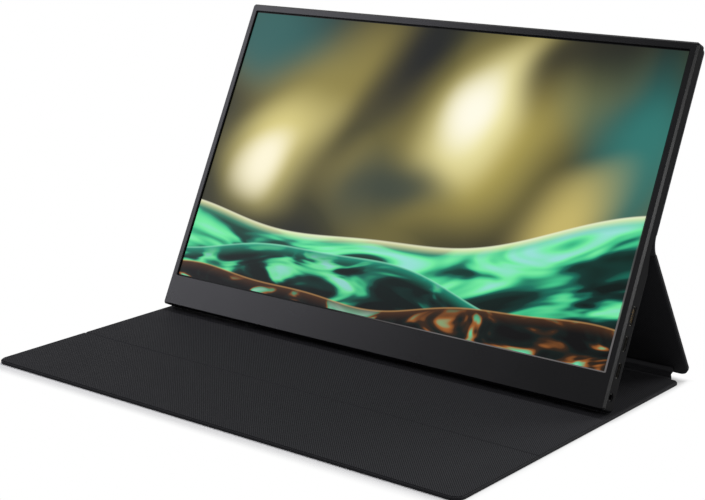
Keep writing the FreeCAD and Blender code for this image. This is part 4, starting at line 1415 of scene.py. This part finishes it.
@dataclass
class SocketTongue:
    """The nylon tongue inside a flat socket, with gold contacts on both faces.

    Attributes:
        name: Start of the names of its socket's CAD node and of its pieces.
        contacts: How many contacts lie on one face.
        pitch: From contact to contact, in metres.
        thickness: Tongue, through the monitor's thickness.
        margin: Tongue inside the socket's ends.
        setback: Tongue behind the socket's mouth.
        root: Where the tongue starts, behind the mouth.
        rounding: Soft edge of the tongue.
        rounding_faces: Faces across that edge.
        contact_width: One contact.
        contact_lift: Contacts above the tongue's face.
        contact_tip: Contacts behind the tongue's tip.
    """

    name: str
    contacts: int = 6
    pitch: float = 0.9 * MM
    thickness: float = 0.9 * MM
    margin: float = 1.15 * MM
    setback: float = 1.6 * MM
    root: float = 5.9 * MM
    rounding: float = 0.12 * MM
    rounding_faces: int = 2
    contact_width: float = 0.5 * MM
    contact_lift: float = 0.06 * MM
    contact_tip: float = 0.3 * MM

    def build(self) -> None:
        """Makes the tongue and its contacts."""
        low, high = MONITOR.extent(self.name + "_port")
        middle = (low + high) / 2
        inner, outer = high.x - self.root, high.x - self.setback
        mesh = bmesh.new()
        size = Vector((outer - inner, high.y - low.y - 2 * self.margin, self.thickness))
        self.add_bar(mesh, Vector(((inner + outer) / 2, middle.y, middle.z)), size)
        soften(mesh, mesh.edges[:], self.rounding, self.rounding_faces)
        tongue = finished(mesh, self.name + "_tongue", MONITOR.matrix, TONGUE_NYLON)
        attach(tongue, Body.MONITOR.value)
        mesh = bmesh.new()
        reach = outer - inner - self.contact_tip
        size = Vector((reach, self.contact_width, self.thickness + 2 * self.contact_lift))
        for number in range(self.contacts):
            along = middle.y + (number - (self.contacts - 1) / 2) * self.pitch
            self.add_bar(mesh, Vector((inner + reach / 2, along, middle.z)), size)
        contacts = finished(mesh, self.name + "_contacts", MONITOR.matrix, CONTACT_GOLD)
        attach(contacts, Body.MONITOR.value)

    @staticmethod
    def add_bar(mesh: Mesh, centre: Vector, size: Vector) -> None:
        """Adds a bar of a given size round a centre."""
        place = Matrix.Translation(centre) @ Matrix.Diagonal((*size, 1.0))
        bmesh.ops.create_cube(mesh, size=1.0, matrix=place)


@dataclass
class Electronics:
    """Boards, packages and sockets.

    Attributes:
        tongues: What fills the flat sockets.
    """

    tongues: tuple[SocketTongue, ...] = (
        SocketTongue("mini_hdmi", contacts=10, pitch=0.8 * MM, setback=0.1 * MM, contact_tip=0.05 * MM),
        SocketTongue("upper_usb_c"),
        SocketTongue("lower_usb_c"),
    )

    def build(self) -> None:
        """Dresses the electronics' CAD nodes and fills the flat sockets."""
        dress(SOLDER_MASK, "main_board", "button_board")
        dress(CHIP_RESIN, "board_chips", "key_switches")
        dress(SHIELD_STEEL, "shield_can")
        dress(SOCKET_STEEL, "mini_hdmi_port", "upper_usb_c_port", "lower_usb_c_port")
        dress(JACK_NYLON, "audio_jack")
        for tongue in self.tongues:
            tongue.build()


# Studio


def direction(azimuth: float, elevation: float) -> Vector:
    """Works out the way from the object to what stands round it.

    Args:
        azimuth: Degrees round the object from its front, to the right.
        elevation: Degrees above the table.

    Returns:
        The way, of length 1.
    """
    around, above = math.radians(azimuth), math.radians(elevation)
    level = math.cos(above)
    return Vector((math.sin(around) * level, -math.cos(around) * level, math.sin(above)))


def hang(name: str, data: bpy.types.ID, place: Vector, back: Vector) -> bpy.types.Object:
    """Hangs up a camera or a lamp.

    Args:
        name: Its name.
        data: The camera or lamp.
        place: Where it hangs, in metres.
        back: The way that its back faces.

    Returns:
        Its object.
    """
    hung = bpy.data.objects.new(name, data)
    hung.location = place
    hung.rotation_euler = back.to_track_quat("Z", "Y").to_euler()
    bpy.context.scene.collection.objects.link(hung)
    return hung


@dataclass(frozen=True)
class PhotoCamera:
    """The photograph's own view, found by fitting a camera to the picture's edges.

    Attributes:
        azimuth: Degrees round the object from its front.
        elevation: Degrees above the table.
        focal: Focal length in pixels.
        axis: Pixel that the lens looks straight at.
        size: Width and height of the photograph in pixels.
        stand_off: From the picture's lower edge to the camera, in metres.
        sensor: Width of the film, in millimetres.
        sight: Nearest and furthest distance that it sees, in metres.
    """

    azimuth: float = 37.52
    elevation: float = 12.86
    focal: float = 1626.5
    axis: tuple[float, float] = (425.0, 203.2)
    size: tuple[int, int] = (705, 500)
    stand_off: tuple[float, float, float] = (0.6262, -0.7584, 0.2982)
    sensor: float = 36.0
    sight: tuple[float, float] = (0.05, 50.0)

    def build(self, aim: Vector) -> None:
        """Makes the camera.

        Args:
            aim: Middle of the picture's lower edge.
        """
        data = bpy.data.cameras.new("photo_camera")
        wide, high = self.size
        data.sensor_width = self.sensor
        data.lens = self.sensor * self.focal / wide
        data.shift_x = (wide / 2 - self.axis[0]) / wide
        data.shift_y = (self.axis[1] - high / 2) / wide
        data.clip_start, data.clip_end = self.sight
        back = direction(self.azimuth, self.elevation)
        bpy.context.scene.camera = hang("photo_camera", data, aim + Vector(self.stand_off), back)


@dataclass(frozen=True)
class Softbox:
    """One square lamp of the studio.

    Attributes:
        name: Name of the lamp.
        azimuth: Degrees round the object from its front, to the right.
        elevation: Degrees above the table.
        distance: From the object, in metres.
        side: Length of its side.
        glow: Brightness of its face; a white wall in full light has 1.
        tint: Its colour as an sRGB hex value.
    """

    name: str
    azimuth: float
    elevation: float
    distance: float
    side: float
    glow: float
    tint: str = "#FFFFFF"

    def build(self, aim: Vector) -> None:
        """Makes the lamp.

        Args:
            aim: What it points at.
        """
        data = bpy.data.lights.new(self.name, "AREA")
        data.size = self.side
        data.energy = self.glow * math.pi * self.side**2
        data.color = linear(self.tint)[:3]
        back = direction(self.azimuth, self.elevation)
        hang(self.name, data, aim + back * self.distance, back)


@dataclass(frozen=True)
class Studio:
    """White floor with a painted grey shadow round the object, white surroundings and soft lamps.

    Attributes:
        white: Colour of the surroundings and of the floor's own light as an sRGB hex value.
        floor_side: Side of the floor, in metres.
        floor_colour: Colour of the floor's matt face, which takes the cast shadow; near the object its grey
            also paints a shadow.
        glow_in_painted_shadow: Share of the floor's own white beside the object, where the rest is the matt
            grey of the painted shadow.
        painted_shadow_reach: Distance from the object where the painted shadow ends and the floor is all
            white.
        footprint: Half of the object's width and depth on the floor, from which the painted shadow is
            measured.
        ambient: Light of the surroundings on the object.
        aim: What the lamps point at.
        lamps: The lamps.
    """

    white: str = "#FFFFFF"
    floor_side: float = 12.0
    floor_colour: str = "#B8B8B8"
    glow_in_painted_shadow: float = 0.12
    painted_shadow_reach: float = 0.010
    footprint: tuple[float, float] = (0.175, 0.115)
    ambient: float = 0.14
    aim: tuple[float, float, float] = (0.0, 0.0, 0.08)
    lamps: tuple[Softbox, ...] = (
        Softbox("key_softbox", -60.5, 27.0, 1.8, 0.86, 10.0, "#F5F4FF"),
        Softbox("rim_softbox", 68.0, 22.0, 1.6, 0.35, 30.0),
        Softbox("top_softbox", -165.0, 73.0, 1.9, 0.25, 150.0),
        Softbox("back_softbox", 150.0, 25.0, 2.0, 1.0, 12.0),
    )

    def build(self) -> None:
        """Makes floor, surroundings and lamps."""
        self.floor()
        self.surroundings()
        for lamp in self.lamps:
            lamp.build(Vector(self.aim))

    @staticmethod
    def seen(tree: Tree) -> Source:
        """Tells rays that show the surroundings, straight or in a reflection, from rays that light.

        Args:
            tree: Node tree that takes the nodes.

        Returns:
            1 for rays that show and 0 for rays that light.
        """
        path = add_node(tree, "LightPath").outputs
        shown = path["Is Camera Ray"]
        for kind in ("Is Glossy Ray", "Is Transmission Ray"):
            shown = add_node(tree, "Math", {0: shown, 1: path[kind]}, operation="MAXIMUM")
        return shown

    def painted_shadow_whiteness(self, tree: Tree) -> Node:
        """Works out the share of the floor's own white, which leaves a painted shadow round the object.

        Args:
            tree: Node tree that takes the nodes.

        Returns:
            The share: less beside the object, where it paints a shadow, all of it further off.
        """
        place = add_node(tree, "SeparateXYZ", {0: add_node(tree, "TexCoord").outputs["Object"]}).outputs
        beyond = []
        for axis, half in enumerate(self.footprint):
            distance = add_node(tree, "Math", {0: place[axis]}, operation="ABSOLUTE")
            beyond.append(add_node(tree, "Math", {0: distance, 1: half}, operation="SUBTRACT"))
        away = add_node(tree, "Math", {0: beyond[0], 1: beyond[1]}, operation="MAXIMUM")
        settings = {"Value": away, "From Max": self.painted_shadow_reach, "To Min": self.glow_in_painted_shadow, "To Max": 1.0}
        return add_node(tree, "MapRange", settings, interpolation_type="SMOOTHSTEP")

    def floor(self) -> None:
        """Makes a white floor that keeps the object's cast shadow and has a painted grey shadow round the
        object.
        """
        material = bpy.data.materials.new("studio_white_painted_shadow")
        material.use_nodes = True
        tree = material.node_tree
        tree.nodes.clear()
        matt = add_node(tree, "BsdfDiffuse", {"Color": linear(self.floor_colour)})
        glow = add_node(tree, "Emission", {"Color": linear(self.white), "Strength": 1.0})
        # Painted shadow: beside the object the floor shows mostly its grey matt face, further off its own
        # white
        share = add_node(tree, "Math", {0: self.seen(tree), 1: self.painted_shadow_whiteness(tree)}, operation="MULTIPLY")
        mixed = add_node(tree, "MixShader", {0: share, 1: matt, 2: glow})
        add_node(tree, "OutputMaterial", {"Surface": mixed})
        mesh = bmesh.new()
        bmesh.ops.create_grid(mesh, x_segments=1, y_segments=1, size=self.floor_side / 2)
        to_object(mesh, "studio_floor", material)

    def surroundings(self) -> None:
        """Makes them white where they are seen, and a plain even light on the object."""
        world = bpy.data.worlds.new("studio_surroundings")
        world.use_nodes = True
        tree = world.node_tree
        tree.nodes.clear()
        light = add_node(tree, "MapRange", {"Value": self.seen(tree), "To Min": self.ambient, "To Max": 1.0})
        white = add_node(tree, "Background", {"Color": linear(self.white), "Strength": light})
        add_node(tree, "OutputWorld", {"Surface": white})
        bpy.context.scene.world = world
        bpy.context.scene.view_settings.view_transform = "Standard"


def main() -> None:
    """Builds the looks in order."""
    logging.basicConfig(level=logging.INFO, format="%(name)s %(message)s")
    display = Display()
    display.build()
    Housing().build()
    Electronics().build()
    FolioCover().build()
    PhotoCamera().build(display.lower_edge)
    Studio().build()


if __name__ == "__main__":
    main()
